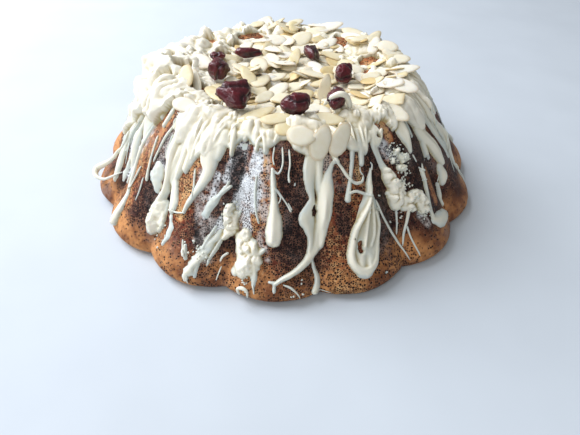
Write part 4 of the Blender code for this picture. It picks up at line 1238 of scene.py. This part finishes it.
def run_tree(source, tree, values, name):
    """The source with the tree's modifier on it and its inputs set, made a plain mesh."""
    modifier = source.modifiers.new(tree.name, "NODES")
    modifier.node_group = tree
    for item in tree.interface.items_tree:
        if item.item_type == "SOCKET" and item.in_out == "INPUT" and item.name in values:
            modifier[item.identifier] = values[item.name]
    source.update_tag()
    return made_plain(source, name)


def build_threads(settings):
    look = bpy.data.materials["set_white_icing"]
    points, edges, beads, depths = [], [], [], []
    for stations in [*THREADS, *back_threads()]:
        full = [(*station, -1.0) if len(station) == 3 else station for station in stations]
        line = smooth_line(full, THREAD_STEPS)
        resting = laid_height(line[:, 0], line[:, 1]) + 0.28 * line[:, 2]
        lift = np.where(line[:, 3] > 0, line[:, 3], resting)
        share = np.linspace(0, 1, len(line))
        taper = np.sqrt(np.clip(np.minimum(share, 1 - share) * 14, 0.15, 1))
        first = len(beads)
        points.extend(crust_points(line[:, 0], line[:, 1], lift))
        beads.extend(np.maximum(line[:, 2], 0.3) * taper)
        depths.extend(0.35 + 0.4 * line[:, 2])
        edges.extend((first + i, first + i + 1) for i in range(len(line) - 1))
    mesh = bpy.data.meshes.new("strand_lines")
    mesh.from_pydata((np.array(points) * MM).tolist(), edges, [])
    for key, values in (("bead", beads), ("depth", depths)):
        mesh.attributes.new(key, "FLOAT", "POINT")
        mesh.attributes[key].data.foreach_set("value", np.array(values, np.float32))
    lines = bpy.data.objects.new("strand_lines", mesh)
    bpy.context.scene.collection.objects.link(lines)
    values = {"Thickness": settings.strand_thickness * MM, "Sides": THREAD_SIDES, "Icing": look}
    made = run_tree(lines, thread_tree(look), values, "icing_strands")
    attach(made, BODY)


CRUMB_SPOTS = (
    # Where crumbs of icing cling: angle, reach, how far they spread, how many.
    (40.5, 24.5, 4.5, 34), (42.5, 28.5, 3.5, 26), (41.5, 33, 3.0, 16), (39, 37, 5.0, 18), (41.5, 43, 5.0, 16),
    (43, 57, 4.0, 16), (-16, 43, 4.0, 10), (-21, 66, 4.0, 12), (-24, 62, 4.0, 10), (-9, 73, 4.0, 8), (36, 55, 5.0, 8),
    (-48, 10, 4.0, 8), (28, 44, 6.0, 6), (-36, 68, 5.0, 8), (4, 76, 5.0, 6), (150, 40, 20.0, 30), (215, 45, 20.0, 30),
    (100, 40, 12.0, 20), (-90, 45, 12.0, 20),
)
CRUMB_SEED = 23


def crumb_tree():
    """Small lumps set on the input's points, each turned and sized by its own numbers."""
    tree = bpy.data.node_groups.new("icing crumbs", "GeometryNodeTree")
    tree.interface.new_socket("Geometry", in_out="INPUT", socket_type="NodeSocketGeometry")
    for name, kind in (("Size", "NodeSocketFloat"), ("Seed", "NodeSocketInt"), ("Icing", "NodeSocketMaterial")):
        tree.interface.new_socket(name, in_out="INPUT", socket_type=kind)
    tree.interface.new_socket("Geometry", in_out="OUTPUT", socket_type="NodeSocketGeometry")
    given = add_node(tree, "NodeGroupInput").outputs
    lump = add_node(tree, "GeometryNodeMeshIcoSphere", None, {"Radius": 0.5, "Subdivisions": 2})
    rough = add_node(tree, "ShaderNodeTexNoise", None, {"Scale": 2.2, "Detail": 1.0})
    push = add_node(tree, "ShaderNodeVectorMath", {"operation": "MULTIPLY_ADD"},
                    {0: rough.outputs["Color"], 1: (0.7, 0.7, 0.7), 2: (-0.35, -0.35, -0.35)})
    shaped = add_node(tree, "GeometryNodeSetPosition", None, {"Geometry": lump.outputs["Mesh"], "Offset": push.outputs[0]})
    turn = add_node(tree, "FunctionNodeRandomValue", {"data_type": "FLOAT_VECTOR"},
                    {0: (0.0, 0.0, 0.0), 1: (6.28, 6.28, 6.28), "Seed": given["Seed"]})
    wide = add_node(tree, "FunctionNodeRandomValue", {"data_type": "FLOAT_VECTOR"},
                    {0: (0.5, 0.5, 0.4), 1: (1.4, 1.2, 0.9), "Seed": given["Seed"]})
    sized = add_node(tree, "ShaderNodeVectorMath", {"operation": "SCALE"}, {0: wide.outputs[0], "Scale": given["Size"]})
    spread = add_node(tree, "GeometryNodeInstanceOnPoints", None,
                      {"Points": given["Geometry"], "Instance": shaped.outputs[0], "Rotation": turn.outputs[0],
                       "Scale": sized.outputs[0]})
    real = add_node(tree, "GeometryNodeRealizeInstances", None, {"Geometry": spread.outputs[0]})
    dressed = add_node(tree, "GeometryNodeSetMaterial", None,
                       {"Geometry": real.outputs[0], "Material": given["Icing"]})
    add_node(tree, "NodeGroupOutput", None, {"Geometry": dressed.outputs[0]})
    return tree


def points_object(name, points, attributes):
    """Loose points with attributes, for a tree to set things on."""
    mesh = bpy.data.meshes.new(name)
    mesh.from_pydata((np.array(points) * MM).tolist(), [], [])
    for key, (kind, values) in attributes.items():
        mesh.attributes.new(key, kind, "POINT")
        field = "vector" if kind == "FLOAT_VECTOR" else "value"
        mesh.attributes[key].data.foreach_set(field, np.asarray(values).ravel())
    made = bpy.data.objects.new(name, mesh)
    bpy.context.scene.collection.objects.link(made)
    return made


def build_crumbs(settings):
    draw = np.random.default_rng(CRUMB_SEED)
    points, depths = [], []
    for angle, reach, spread, count in CRUMB_SPOTS:
        per_degree = math.radians(1.0) * float(section(reach, 0))
        for _ in range(count):
            along, down = draw.normal(0, 0.5 * spread, 2)
            at = angle + along / per_degree, min(reach + down, 78.0)
            lift = float(laid_height(*at)) + 0.1
            points.append(crust_points(*at, lift))
            depths.append(0.8)
    dots = points_object("crumb_points", points, {"depth": ("FLOAT", np.array(depths, np.float32))})
    values = {"Size": settings.crumb_size * MM, "Seed": CRUMB_SEED, "Icing": bpy.data.materials["set_white_icing"]}
    made = run_tree(dots, crumb_tree(), values, "icing_crumbs")
    made.data.shade_smooth()
    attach(made, BODY)


# ---------------------------------------------------------------- cranberries

CRANBERRIES = (
    # x and y of the middle, length, width, height, turn about +Z, tip of the far side, all as in the solids; then how
    # three-cornered it is.
    (-24.5, -44.0, 19.0, 17.0, 9.0, 12.0, 24.0, 0.16),
    (-36.0, -12.5, 15.0, 11.0, 10.0, 75.0, 0.0, 0.05),
    (3.5, -51.0, 14.5, 11.0, 9.5, 8.0, 0.0, 0.07),
    (22.5, -45.5, 14.5, 10.0, 9.5, 60.0, 0.0, 0.05),
    (28.5, -11.4, 14.5, 9.5, 9.5, 80.0, 0.0, 0.04),
    (12.5, 17.6, 16.0, 8.0, 8.0, -68.0, 0.0, 0.03),
    (-23.0, 17.0, 18.0, 6.5, 5.5, 6.0, 0.0, 0.04),
    (-40.0, 10.0, 10.0, 6.0, 4.0, 15.0, 0.0, 0.05),
)
BERRY_FACETS = 9
BERRY_FOLD = 0.95
BERRY_POINT = 1.5
BERRY_MERIDIANS = 72
BERRY_BANDS = 56


def berry_mesh(name, number, size, turn, tip, corner, look):
    """A shrivelled berry in its solid's box: flat facets, a few deep folds along it, and thin raised wrinkles."""
    around, polar = np.meshgrid(np.linspace(0, 2 * np.pi, BERRY_MERIDIANS, endpoint=False),
                                np.linspace(0, np.pi, BERRY_BANDS + 1)[1:-1])
    unit = np.stack([-np.cos(polar), np.sin(polar) * np.cos(around), np.sin(polar) * np.sin(around)], -1)
    unit = np.concatenate([unit.reshape(-1, 3), [(-1.0, 0.0, 0.0), (1.0, 0.0, 0.0)]])
    half = np.array(size) / 2
    flat = np.sign(unit) * np.abs(unit) ** 0.8
    spot = flat * half
    heading = np.arctan2(spot[:, 1], spot[:, 0])
    spot[:, :2] *= (1 - corner + corner * np.cos(3 * (heading + BERRY_POINT)))[:, None]
    # Facets: the surface is cut back to planes with seeded directions.
    draw = np.random.default_rng(50 + number)
    normal = unit / half
    normal /= np.linalg.norm(normal, axis=1)[:, None]
    for _ in range(BERRY_FACETS):
        facing = draw.normal(size=3)
        facing /= np.linalg.norm(facing)
        beyond = spot @ facing - draw.uniform(0.72, 0.86) * np.linalg.norm(facing * half)
        spot = spot - 0.85 * np.maximum(beyond, 0)[:, None] * facing
    stretched = spot * (0.6, 1.0, 1.0) + 40 * number
    creased = 1 - np.abs(noise(stretched, 5.0, 60 + number))
    finer = 1 - np.abs(noise(stretched + 9, 2.2, 70 + number))
    depth = 0.9 * (creased ** 6) - 0.34 * (finer ** 7)
    spot = spot - normal * (depth * BERRY_FOLD)[:, None]
    tipped = math.radians(tip)
    cosine, sine = math.cos(tipped), math.sin(tipped)
    spot = np.stack([spot[:, 0], spot[:, 1] * cosine - spot[:, 2] * sine, spot[:, 1] * sine + spot[:, 2] * cosine], -1)
    radians = math.radians(turn)
    cosine, sine = math.cos(radians), math.sin(radians)
    spot = np.stack([spot[:, 0] * cosine - spot[:, 1] * sine, spot[:, 0] * sine + spot[:, 1] * cosine, spot[:, 2]], -1)
    low, high = (np.array(c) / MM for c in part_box(name))
    spot += (low + high) / 2
    bands = BERRY_BANDS - 1
    index = np.arange(bands * BERRY_MERIDIANS).reshape(bands, BERRY_MERIDIANS)
    after = np.roll(index, -1, axis=1)
    quads = np.stack([index[:-1], after[:-1], after[1:], index[1:]], -1).reshape(-1, 4)
    start, end = bands * BERRY_MERIDIANS, bands * BERRY_MERIDIANS + 1
    first = np.stack([np.full(BERRY_MERIDIANS, start), after[0], index[0]], 1)
    last = np.stack([np.full(BERRY_MERIDIANS, end), index[-1], after[-1]], 1)
    faces = np.concatenate([triangles_of(quads), first, last])
    # The skin's painted light and shade: low in deep folds, high on raised wrinkles.
    made = add_mesh("dried_" + name, spot, faces, {"fold": np.clip(0.75 - depth, 0, 1)})
    made.data.materials.append(look)
    return made


def build_cranberries(settings):
    look = cranberry_material(settings)
    for number, (_, _, length, width, height, turn, tip, corner) in enumerate(CRANBERRIES, 1):
        name = f"cranberry_{number}"
        made = berry_mesh(name, number, (length, width, height), turn, tip, corner, look)
        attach(made, BODY)
        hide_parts(name)


# ---------------------------------------------------------------- almonds

# Flakes laid one by one: x and y of the middle, length, width, turn about +Z, and tilt of the face towards -Y.
PLACED_FLAKES = (
    (-9, 37, 15, 9.9, -1, 35), (7, 38, 14, 11.1, 26, 40), (22, 34, 16, 9.2, 43, 15), (24, 55, 19, 9.5, 17, 20),
    (39, 48, 17, 9.4, -33, 10), (37, 37, 15, 9.6, -26, 5), (3, 61, 16, 9.0, 55, 0), (-9, 57, 17, 4.2, 48, 10),
    (-16, 62, 14, 9.6, 59, 20), (-20, 59, 11, 9.0, 57, 0), (-50, -24, 15, 8.3, -84, 30), (-45.5, -23, 16, 5, -77, 35),
    (-36, -31, 16, 7.9, -56, 5), (-26, 7, 12, 9.6, 26, 5), (-16, -1, 14, 10.7, -79, 15), (-25, -2, 11, 7.8, 53, 0),
    (-9, 12, 15, 7.6, -67, 0), (-6, -11, 12, 7.8, 39, 0), (-14, -19, 15, 9.3, 67, 0), (-6, -26, 17, 9.2, 49, 15),
    (3, -19, 12, 9.2, 45, 0), (6, -29, 15, 10.1, 33, 20), (-4, -33, 12, 9.2, 48, 0), (-9, -44, 9, 7.6, -65, 0),
    (-14, -53, 19, 8.0, 33, 8), (3, 15, 15, 7.4, 74, 30), (11, 17, 12, 9.1, -68, 0), (15, 3, 15, 8.4, -62, 5),
    (32, 2, 17, 10.4, 1, 35), (17, -22, 14, 8.9, 62, 0), (57, -25, 14, 9.8, -19, 30), (61, -3, 18, 8.6, 18, 10),
    (60, 9, 13, 9.6, 13, 15), (55, 20, 12, 10.1, -11, 30), (48, 31, 15, 7.4, 51, 35), (48, 24, 14, 7.4, 68, 30),
    (41, 31, 15, 8.2, 37, 0), (13, -5, 16, 7.4, -16, 0), (19, -12, 18, 7, 23, 5), (50, -45, 14, 9.9, -37, 25),
    (47, -4, 17, 8.4, 34, 15), (43, -9, 14, 9.6, 46, 0), (-2, 22, 11, 8.9, 42, 0), (-10, 25, 15, 7.8, -36, 0),
    (-47, 2, 14, 10.7, -26, 30), (-1, -61, 12, 9.4, 62, 25), (-47, -46, 13, 9.9, -20, 25), (18, -55, 15, 7.5, -6, 30),
    (-5, -58, 15, 7.5, 9, 20), (-28, -18, 13, 9.2, -75, 12), (27, -41, 11, 7.0, -32, 10),
)
# Flakes that stand or hang where the rule for piling can't put them: x, y, z, length, width, and turns about x, y, z.
HUNG_FLAKES = (
    (5.8, -69.4, 63.6, 13, 10.4, 40, 0, -8), (14.2, -70.6, 61.0, 16, 10.5, 62, 8, 74),
    (22.6, -67.8, 61.2, 16, 9.6, 58, 16, 66), (17.5, -28, 64.5, 15, 7, 78, 0, 80),
)
LOOSE_FLAKES = 170
FLAKE_SEED = 29
FLAKE_KINDS = 7
FLAKE_RIM = 16
BED_REACH = 61.0
BED_LEFT = -8.0
BED_LEFT_REACH = 44.0
BED_FRONT = -47.0
GROUND = 84
GROUND_STEP = 1.0


def flake_shapes():
    """The few flakes that all others are turned copies of, in their own collection: long ovals pointed at one end,
    gently bent, some snapped across."""
    shelf = bpy.data.collections.new("flake_shapes")
    bpy.context.scene.collection.children.link(shelf)
    draw = np.random.default_rng(FLAKE_SEED)
    made = []
    for kind in range(FLAKE_KINDS):
        around = np.linspace(0, 2 * np.pi, FLAKE_RIM, endpoint=False)
        x = np.cos(around)
        point = 0.78 + 0.1 * draw.uniform(-1, 1)
        y = np.sin(around) * (1 - 0.2 * (1 + x) / 2 * (2 - point)) * (1 + 0.05 * draw.normal(size=FLAKE_RIM))
        if kind >= FLAKE_KINDS - 2:
            x = np.minimum(x, draw.uniform(0.1, 0.4) + 0.14 * y)
            x = x - (x.max() + x.min()) / 2
            x = x / x.max()
        rim = np.stack([x, y], 1) / 2
        bend, twist = draw.uniform(-0.09, 0.09), draw.uniform(-0.10, 0.10)
        points, edge = [], []
        for share, side, value in ((0.93, 1, 0.9), (0.6, 1, 0.15), (0.0, 1, 0.0), (1.0, 0, 1.0), (0.93, -1, 0.9)):
            ring = rim * share if share else np.zeros((1, 2))
            curve = bend * (ring[:, 0] * 2) ** 2 + twist * ring[:, 0] * ring[:, 1] * 4
            full = 1.0 if share < 0.9 else 0.62
            points.append(np.column_stack([ring, curve * 0.5 + side * 0.5 * full * THICK_SHARE]))
            edge.extend([value] * len(ring))
        lower = np.array([[0.0, 0.0, -0.5 * THICK_SHARE]])
        points = np.concatenate([*points, lower])
        edge.append(0.0)
        n = FLAKE_RIM
        outer, inner, middle, side_ring, under = 0, n, 2 * n, 2 * n + 1, 3 * n + 1
        bottom = 4 * n + 1
        faces = []
        for i in range(n):
            j = (i + 1) % n
            faces.append((outer + i, outer + j, inner + j, inner + i))
            faces.append((inner + i, inner + j, middle))
            faces.append((side_ring + i, side_ring + j, outer + j, outer + i))
            faces.append((under + i, under + j, side_ring + j, side_ring + i))
            faces.append((bottom, under + j, under + i))
        mesh = bpy.data.meshes.new(f"flake_{kind}")
        mesh.from_pydata(points.tolist(), [], faces)
        mesh.attributes.new("edge", "FLOAT", "POINT")
        mesh.attributes["edge"].data.foreach_set("value", np.array(edge, np.float32))
        mesh.shade_smooth()
        shape = bpy.data.objects.new(f"flake_{kind}", mesh)
        shelf.objects.link(shape)
        made.append(shape)
    return shelf, made


THICK_SHARE = 1.0


def flake_tree():
    """Turned and sized copies of the shelf's flakes, one on each of the input's points."""
    tree = bpy.data.node_groups.new("almond flakes", "GeometryNodeTree")
    tree.interface.new_socket("Geometry", in_out="INPUT", socket_type="NodeSocketGeometry")
    for name, kind in (("Flakes", "NodeSocketCollection"), ("Scale", "NodeSocketFloat"),
                       ("Almond", "NodeSocketMaterial")):
        tree.interface.new_socket(name, in_out="INPUT", socket_type=kind)
    tree.interface.new_socket("Geometry", in_out="OUTPUT", socket_type="NodeSocketGeometry")
    given = add_node(tree, "NodeGroupInput").outputs
    shelf = add_node(tree, "GeometryNodeCollectionInfo", None,
                     {"Collection": given["Flakes"], "Separate Children": True, "Reset Children": True})
    read = {}
    for key, kind in (("size", "FLOAT_VECTOR"), ("turn", "FLOAT_VECTOR"), ("kind", "INT")):
        read[key] = add_node(tree, "GeometryNodeInputNamedAttribute", {"data_type": kind}, {"Name": key})
    sized = add_node(tree, "ShaderNodeVectorMath", {"operation": "SCALE"},
                     {0: read["size"].outputs["Attribute"], "Scale": given["Scale"]})
    turned = add_node(tree, "FunctionNodeEulerToRotation", None, {"Euler": read["turn"].outputs["Attribute"]})
    laid = add_node(tree, "GeometryNodeInstanceOnPoints", None,
                    {"Points": given["Geometry"], "Instance": shelf.outputs[0], "Pick Instance": True,
                     "Instance Index": read["kind"].outputs["Attribute"], "Rotation": turned.outputs[0],
                     "Scale": sized.outputs[0]})
    real = add_node(tree, "GeometryNodeRealizeInstances", None, {"Geometry": laid.outputs[0]})
    dressed = add_node(tree, "GeometryNodeSetMaterial", None,
                       {"Geometry": real.outputs[0], "Material": given["Almond"]})
    add_node(tree, "NodeGroupOutput", None, {"Geometry": dressed.outputs[0]})
    return tree


class Ground:
    """Heights on a square grid over the top, which rise as flakes are laid."""

    def __init__(self):
        side = np.arange(-GROUND, GROUND + GROUND_STEP / 2, GROUND_STEP)
        self.x, self.y = np.meshgrid(side, side, indexing="ij")
        radius = np.hypot(self.x, self.y)
        outer = SECTION_LENGTHS - CREST_LENGTH < 60
        reach = np.interp(radius, SECTION_LINE[outer, 0], SECTION_LENGTHS[outer] - CREST_LENGTH)
        angle = np.degrees(np.arctan2(self.x, -self.y))
        self.z = section(reach, 1) + laid_height(angle, reach)

    def at(self, x, y):
        i = np.clip(np.round((x + GROUND) / GROUND_STEP).astype(int), 0, self.z.shape[0] - 1)
        j = np.clip(np.round((y + GROUND) / GROUND_STEP).astype(int), 0, self.z.shape[1] - 1)
        return self.z[i, j]

    def raise_to(self, middle, axes, size, top):
        """Raises the ground under a flat oval with this middle and these axes to its upper face."""
        near = np.hypot(self.x - middle[0], self.y - middle[1]) < size[0] / 2 + 1
        dx, dy = self.x[near] - middle[0], self.y[near] - middle[1]
        flat = np.array([[axes[0][0], axes[1][0]], [axes[0][1], axes[1][1]]])
        along, across = np.linalg.solve(flat, np.stack([dx, dy]))
        inside = (2 * along / size[0]) ** 2 + (2 * across / size[1]) ** 2 < 1
        height = middle[2] + along * axes[0][2] + across * axes[1][2] + top
        values = self.z[near]
        self.z[near] = np.where(inside, np.maximum(values, height), values)


def turn_matrix(tilt_x, tilt_y, turn_z):
    """Turned about z first, then about y and x, all in degrees."""
    return np.array(Matrix.Rotation(math.radians(tilt_x), 3, "X") @ Matrix.Rotation(math.radians(tilt_y), 3, "Y")
                    @ Matrix.Rotation(math.radians(turn_z), 3, "Z"))


def lay_flake(ground, x, y, length, width, turn, tilt_x, tilt_y, thick, sunk):
    """Rests a flake on what lies under it and raises the ground there. Gives its middle and its turns."""
    spin = turn_matrix(tilt_x, tilt_y, turn)
    rim = np.linspace(0, 2 * np.pi, 12, endpoint=False)
    local = np.stack([np.cos(rim) * length * 0.46, np.sin(rim) * width * 0.46, 0 * rim], 1)
    local = np.vstack([local, local * 0.5, [[0, 0, 0]]])
    offset = local @ spin.T
    needed = np.sort(ground.at(x + offset[:, 0], y + offset[:, 1]) - offset[:, 2])
    middle = np.array([x, y, needed[-8] + thick / 2 - sunk])
    ground.raise_to(middle, (spin[:, 0], spin[:, 1]), (length, width), thick / 2)
    euler = Matrix(spin.tolist()).to_euler("XYZ")
    return middle, tuple(euler)


def ground_tilt(ground, x, y):
    """The ground's own lean about x and y there, in degrees."""
    span = 5.0
    rise_y = (ground.at(x, y + span) - ground.at(x, y - span)) / (2 * span)
    rise_x = (ground.at(x + span, y) - ground.at(x - span, y)) / (2 * span)
    return math.degrees(math.atan(rise_y)), -math.degrees(math.atan(rise_x))


def clear_of(x, y, spots):
    return all(math.hypot(x - sx, y - sy) > gap for sx, sy, gap in spots)


def build_almonds(settings):
    draw = np.random.default_rng(FLAKE_SEED)
    ground = Ground()
    spots = [(x, y, length * 0.42 + 1.5) for x, y, length, *_ in CRANBERRIES]
    spots += [(x, y, radius + 3.0) for x, y, radius in BARE_TOP]
    thick = settings.flake_thickness
    flakes = []
    while len(flakes) < LOOSE_FLAKES:
        radius, around = BED_REACH * math.sqrt(draw.uniform(0.0, 1.0)), draw.uniform(0, 2 * math.pi)
        x, y = radius * math.cos(around), radius * math.sin(around)
        shy = x < BED_LEFT and radius > BED_LEFT_REACH or y < BED_FRONT
        length = draw.uniform(11, 16)
        width, turn = draw.uniform(7.4, 9.8), draw.uniform(0, 360)
        lean = draw.normal(0, 10, 2)
        tone = draw.uniform(0, 1)
        if shy or not clear_of(x, y, spots):
            continue
        tilt_x, tilt_y = ground_tilt(ground, x, y)
        middle, turns = lay_flake(ground, x, y, length, width, turn, 0.7 * tilt_x + lean[0], 0.7 * tilt_y + lean[1],
                                  thick, 0.4)
        flakes.append((middle, (length, width, thick), turns, draw.integers(0, FLAKE_KINDS), tone))
    for x, y, length, width, turn, tilt in PLACED_FLAKES:
        tone = draw.uniform(0, 0.8)
        sideways = draw.normal(0, 3)
        middle, turns = lay_flake(ground, x, y, length, width, turn, 0.8 * tilt, sideways, thick, 0.5)
        flakes.append((middle, (length, width, thick), turns, draw.integers(0, FLAKE_KINDS - 2), tone))
    for x, y, z, length, width, *turns in HUNG_FLAKES:
        euler = tuple(Matrix(turn_matrix(*turns).tolist()).to_euler("XYZ"))
        flakes.append((np.array([x, y, z]), (length, width, thick), euler, draw.integers(0, FLAKE_KINDS - 2), 0.3))
    middles, sizes, turns, kinds, tones = zip(*flakes)
    dots = points_object("flake_points", middles, {
        "size": ("FLOAT_VECTOR", np.array(sizes, np.float32)), "turn": ("FLOAT_VECTOR", np.array(turns, np.float32)),
        "kind": ("INT", np.array(kinds, np.int32)), "tone": ("FLOAT", np.array(tones, np.float32))})
    shelf, shapes = flake_shapes()
    values = {"Flakes": shelf, "Scale": MM, "Almond": almond_material(settings)}
    made = run_tree(dots, flake_tree(), values, "almond_flakes")
    for shape in shapes:
        bpy.data.objects.remove(shape, do_unlink=True)
    bpy.data.collections.remove(shelf)
    for key in ("size", "turn", "kind"):
        if key in made.data.attributes:
            made.data.attributes.remove(made.data.attributes[key])
    made.data.set_sharp_from_angle(angle=math.radians(40))
    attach(made, BODY)
    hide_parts("almond_bed")


# ---------------------------------------------------------------- stage

CAMERA_PLACE = Vector((0.0, -0.2400, 0.1702))
CAMERA_YAW = 0.64
CAMERA_PITCH = 41.9
CAMERA_ROLL = 1.6
CAMERA_LENS = 29.17
FLOOR_SIDE = 4.0


def add_light(name, place, target, size, power, colour):
    lamp = bpy.data.lights.new(name, "AREA")
    lamp.shape = "RECTANGLE"
    lamp.size, lamp.size_y = size
    lamp.energy = power
    lamp.color = colour
    made = bpy.data.objects.new(name, lamp)
    made.location = place
    made.rotation_euler = (Vector(target) - Vector(place)).to_track_quat("-Z", "Y").to_euler()
    bpy.context.scene.collection.objects.link(made)
    return made


def build_stage(settings):
    scene = bpy.context.scene
    half = FLOOR_SIDE / 2 / MM
    level = float(np.array(CAD_BOX)[0][2]) / MM
    corners = [(-half, -half, level), (half, -half, level), (half, half, level), (-half, half, level)]
    floor = add_mesh("floor", corners, [(0, 1, 2, 3)], smooth=False)
    floor.data.materials.append(floor_material(settings))
    world = bpy.data.worlds.new("studio")
    scene.world = world
    world.use_nodes = True
    backdrop = world.node_tree.nodes["Background"]
    backdrop.inputs["Color"].default_value = rgba("#ECEEEF")
    backdrop.inputs["Strength"].default_value = settings.fill
    add_light("window", (-0.75, 0.35, 0.85), (0, 0, 0.03), (0.9, 0.9), settings.key, linear("#F4F7FF"))
    add_light("front_fill", (-0.5, -0.9, 0.8), (0, 0, 0.03), (0.8, 0.8), settings.key * 0.22, linear("#FFFFFF"))
    pitch, roll = math.radians(CAMERA_PITCH), math.radians(CAMERA_ROLL)
    yaw = math.radians(CAMERA_YAW)
    ahead = Vector((math.sin(yaw) * math.cos(pitch), math.cos(yaw) * math.cos(pitch), -math.sin(pitch)))
    level_right = Vector((math.cos(yaw), -math.sin(yaw), 0.0))
    level_up = level_right.cross(ahead)
    right = math.cos(roll) * level_right + math.sin(roll) * level_up
    up = -math.sin(roll) * level_right + math.cos(roll) * level_up
    data = bpy.data.cameras.new("camera")
    data.lens = CAMERA_LENS
    data.sensor_width = 36.0
    data.clip_start = 0.01
    camera = bpy.data.objects.new("camera", data)
    camera.matrix_world = Matrix.Translation(CAMERA_PLACE) @ Matrix((right, up, -ahead)).transposed().to_4x4()
    scene.collection.objects.link(camera)
    scene.camera = camera
    scene.view_settings.view_transform = "Standard"


# ---------------------------------------------------------------- the add-on


def colour_setting(name, description, default):
    return bpy.props.FloatVectorProperty(name=name, description=description, default=linear(default), size=3,
                                         min=0.0, max=1.0, subtype="COLOR")


class CAKE_PG_crust(bpy.types.PropertyGroup):
    # The light end of the crust's ramp: golden crust on the ridges, and painted light on the lobes' left flanks.
    golden_and_lit: colour_setting("Ridge", "Golden crust on the ridges", "#DDB47E")
    # The dark end of the crust's ramp: the darkest crust, and painted shade on flanks and in creases.
    dark: colour_setting("Dark", "Crust where it baked darkest", "#48221B")
    foot: colour_setting("Foot", "Orange-brown crust at the foot", "#CE9058")
    bubble_spacing: bpy.props.FloatProperty(name="Bubble spacing", description="Between burst bubbles, in mm",
                                            default=1.02, min=0.4, max=6.0)


class CAKE_PG_icing(bpy.types.PropertyGroup):
    thick: colour_setting("Thick", "Icing where it lies thick", "#EFEBD8")
    thin: colour_setting("Thin", "Icing where it is thin", "#CBD4D0")
    # The tint of painted shade in the icing's hollows and over the top.
    hollow: colour_setting("Hollow", "Icing in the hollows between its lumps", "#B9A878")
    strand_thickness: bpy.props.FloatProperty(name="Strand thickness", description="A factor on the thin strands",
                                              default=1.0, min=0.2, max=3.0, subtype="FACTOR")
    crumb_size: bpy.props.FloatProperty(name="Crumb size", description="Size of a crumb of icing, in mm",
                                        default=1.1, min=0.3, max=4.0)


class CAKE_PG_almond(bpy.types.PropertyGroup):
    pale: colour_setting("Pale", "The palest flakes", "#F3EFE2")
    golden: colour_setting("Golden", "The yellowest flakes", "#D8BE86")
    rim: colour_setting("Rim", "The cut edge of a flake", "#C29C60")
    flake_thickness: bpy.props.FloatProperty(name="Flake thickness", description="Thickness of a flake, in mm",
                                             default=0.9, min=0.3, max=3.0)


class CAKE_PG_cranberry(bpy.types.PropertyGroup):
    skin: colour_setting("Skin", "Skin of a dried cranberry", "#400E17")


class CAKE_PG_stage(bpy.types.PropertyGroup):
    floor: colour_setting("Floor", "The floor", "#C9D1D8")
    key: bpy.props.FloatProperty(name="Window light", description="Power of the large soft light", default=23.0,
                                 min=0.0, max=200.0, subtype="POWER")
    fill: bpy.props.FloatProperty(name="Fill", description="Strength of the even light all round", default=0.31,
                                  min=0.0, max=5.0)


class CAKE_OT_stage(bpy.types.Operator):
    """Makes the floor, the lights and the camera"""
    bl_idname = "cake.stage"
    bl_label = "Stage"

    def execute(self, context):
        build_stage(context.scene.cake_stage)
        return {"FINISHED"}


class CAKE_OT_crust(bpy.types.Operator):
    """Makes the fluted, baked crust"""
    bl_idname = "cake.crust"
    bl_label = "Crust"

    def execute(self, context):
        build_crust(context.scene.cake_crust)
        return {"FINISHED"}


class CAKE_OT_icing(bpy.types.Operator):
    """Lays the icing over the top and down the flutes"""
    bl_idname = "cake.icing"
    bl_label = "Icing"

    def execute(self, context):
        build_icing(context.scene.cake_icing)
        return {"FINISHED"}


class CAKE_OT_strands(bpy.types.Operator):
    """Makes the thin strands and the crumbs of icing"""
    bl_idname = "cake.strands"
    bl_label = "Strands and Crumbs"

    def execute(self, context):
        if "set_white_icing" not in bpy.data.materials:
            raise RuntimeError("the icing comes before its strands and crumbs")
        build_threads(context.scene.cake_icing)
        build_crumbs(context.scene.cake_icing)
        return {"FINISHED"}


class CAKE_OT_cranberries(bpy.types.Operator):
    """Makes each dried cranberry"""
    bl_idname = "cake.cranberries"
    bl_label = "Cranberries"

    def execute(self, context):
        build_cranberries(context.scene.cake_cranberry)
        return {"FINISHED"}


class CAKE_OT_almonds(bpy.types.Operator):
    """Piles the flaked almonds in the top"""
    bl_idname = "cake.almonds"
    bl_label = "Almonds"

    def execute(self, context):
        build_almonds(context.scene.cake_almond)
        return {"FINISHED"}


OPERATORS = (CAKE_OT_stage, CAKE_OT_crust, CAKE_OT_icing, CAKE_OT_strands, CAKE_OT_cranberries, CAKE_OT_almonds)
GROUPS = {"cake_crust": CAKE_PG_crust, "cake_icing": CAKE_PG_icing, "cake_almond": CAKE_PG_almond,
          "cake_cranberry": CAKE_PG_cranberry, "cake_stage": CAKE_PG_stage}


class CAKE_PT_panel(bpy.types.Panel):
    """Lists the pieces and their settings"""
    bl_idname = "CAKE_PT_panel"
    bl_label = "Bundt Cake"
    bl_space_type = "VIEW_3D"
    bl_region_type = "UI"
    bl_category = "Cake"

    def draw(self, context):
        for operator in OPERATORS:
            self.layout.operator(operator.bl_idname)
        for key, group in GROUPS.items():
            column = self.layout.column(align=True)
            for name in group.__annotations__:
                column.prop(getattr(context.scene, key), name)


def register():
    for made in (*GROUPS.values(), *OPERATORS, CAKE_PT_panel):
        bpy.utils.register_class(made)
    for key, group in GROUPS.items():
        setattr(bpy.types.Scene, key, bpy.props.PointerProperty(type=group))


def unregister():
    for key in GROUPS:
        delattr(bpy.types.Scene, key)
    for made in reversed((*GROUPS.values(), *OPERATORS, CAKE_PT_panel)):
        bpy.utils.unregister_class(made)


def main():
    register()
    for operator in OPERATORS:
        group, name = operator.bl_idname.split(".")
        getattr(getattr(bpy.ops, group), name)()


if __name__ == "__main__":
    main()
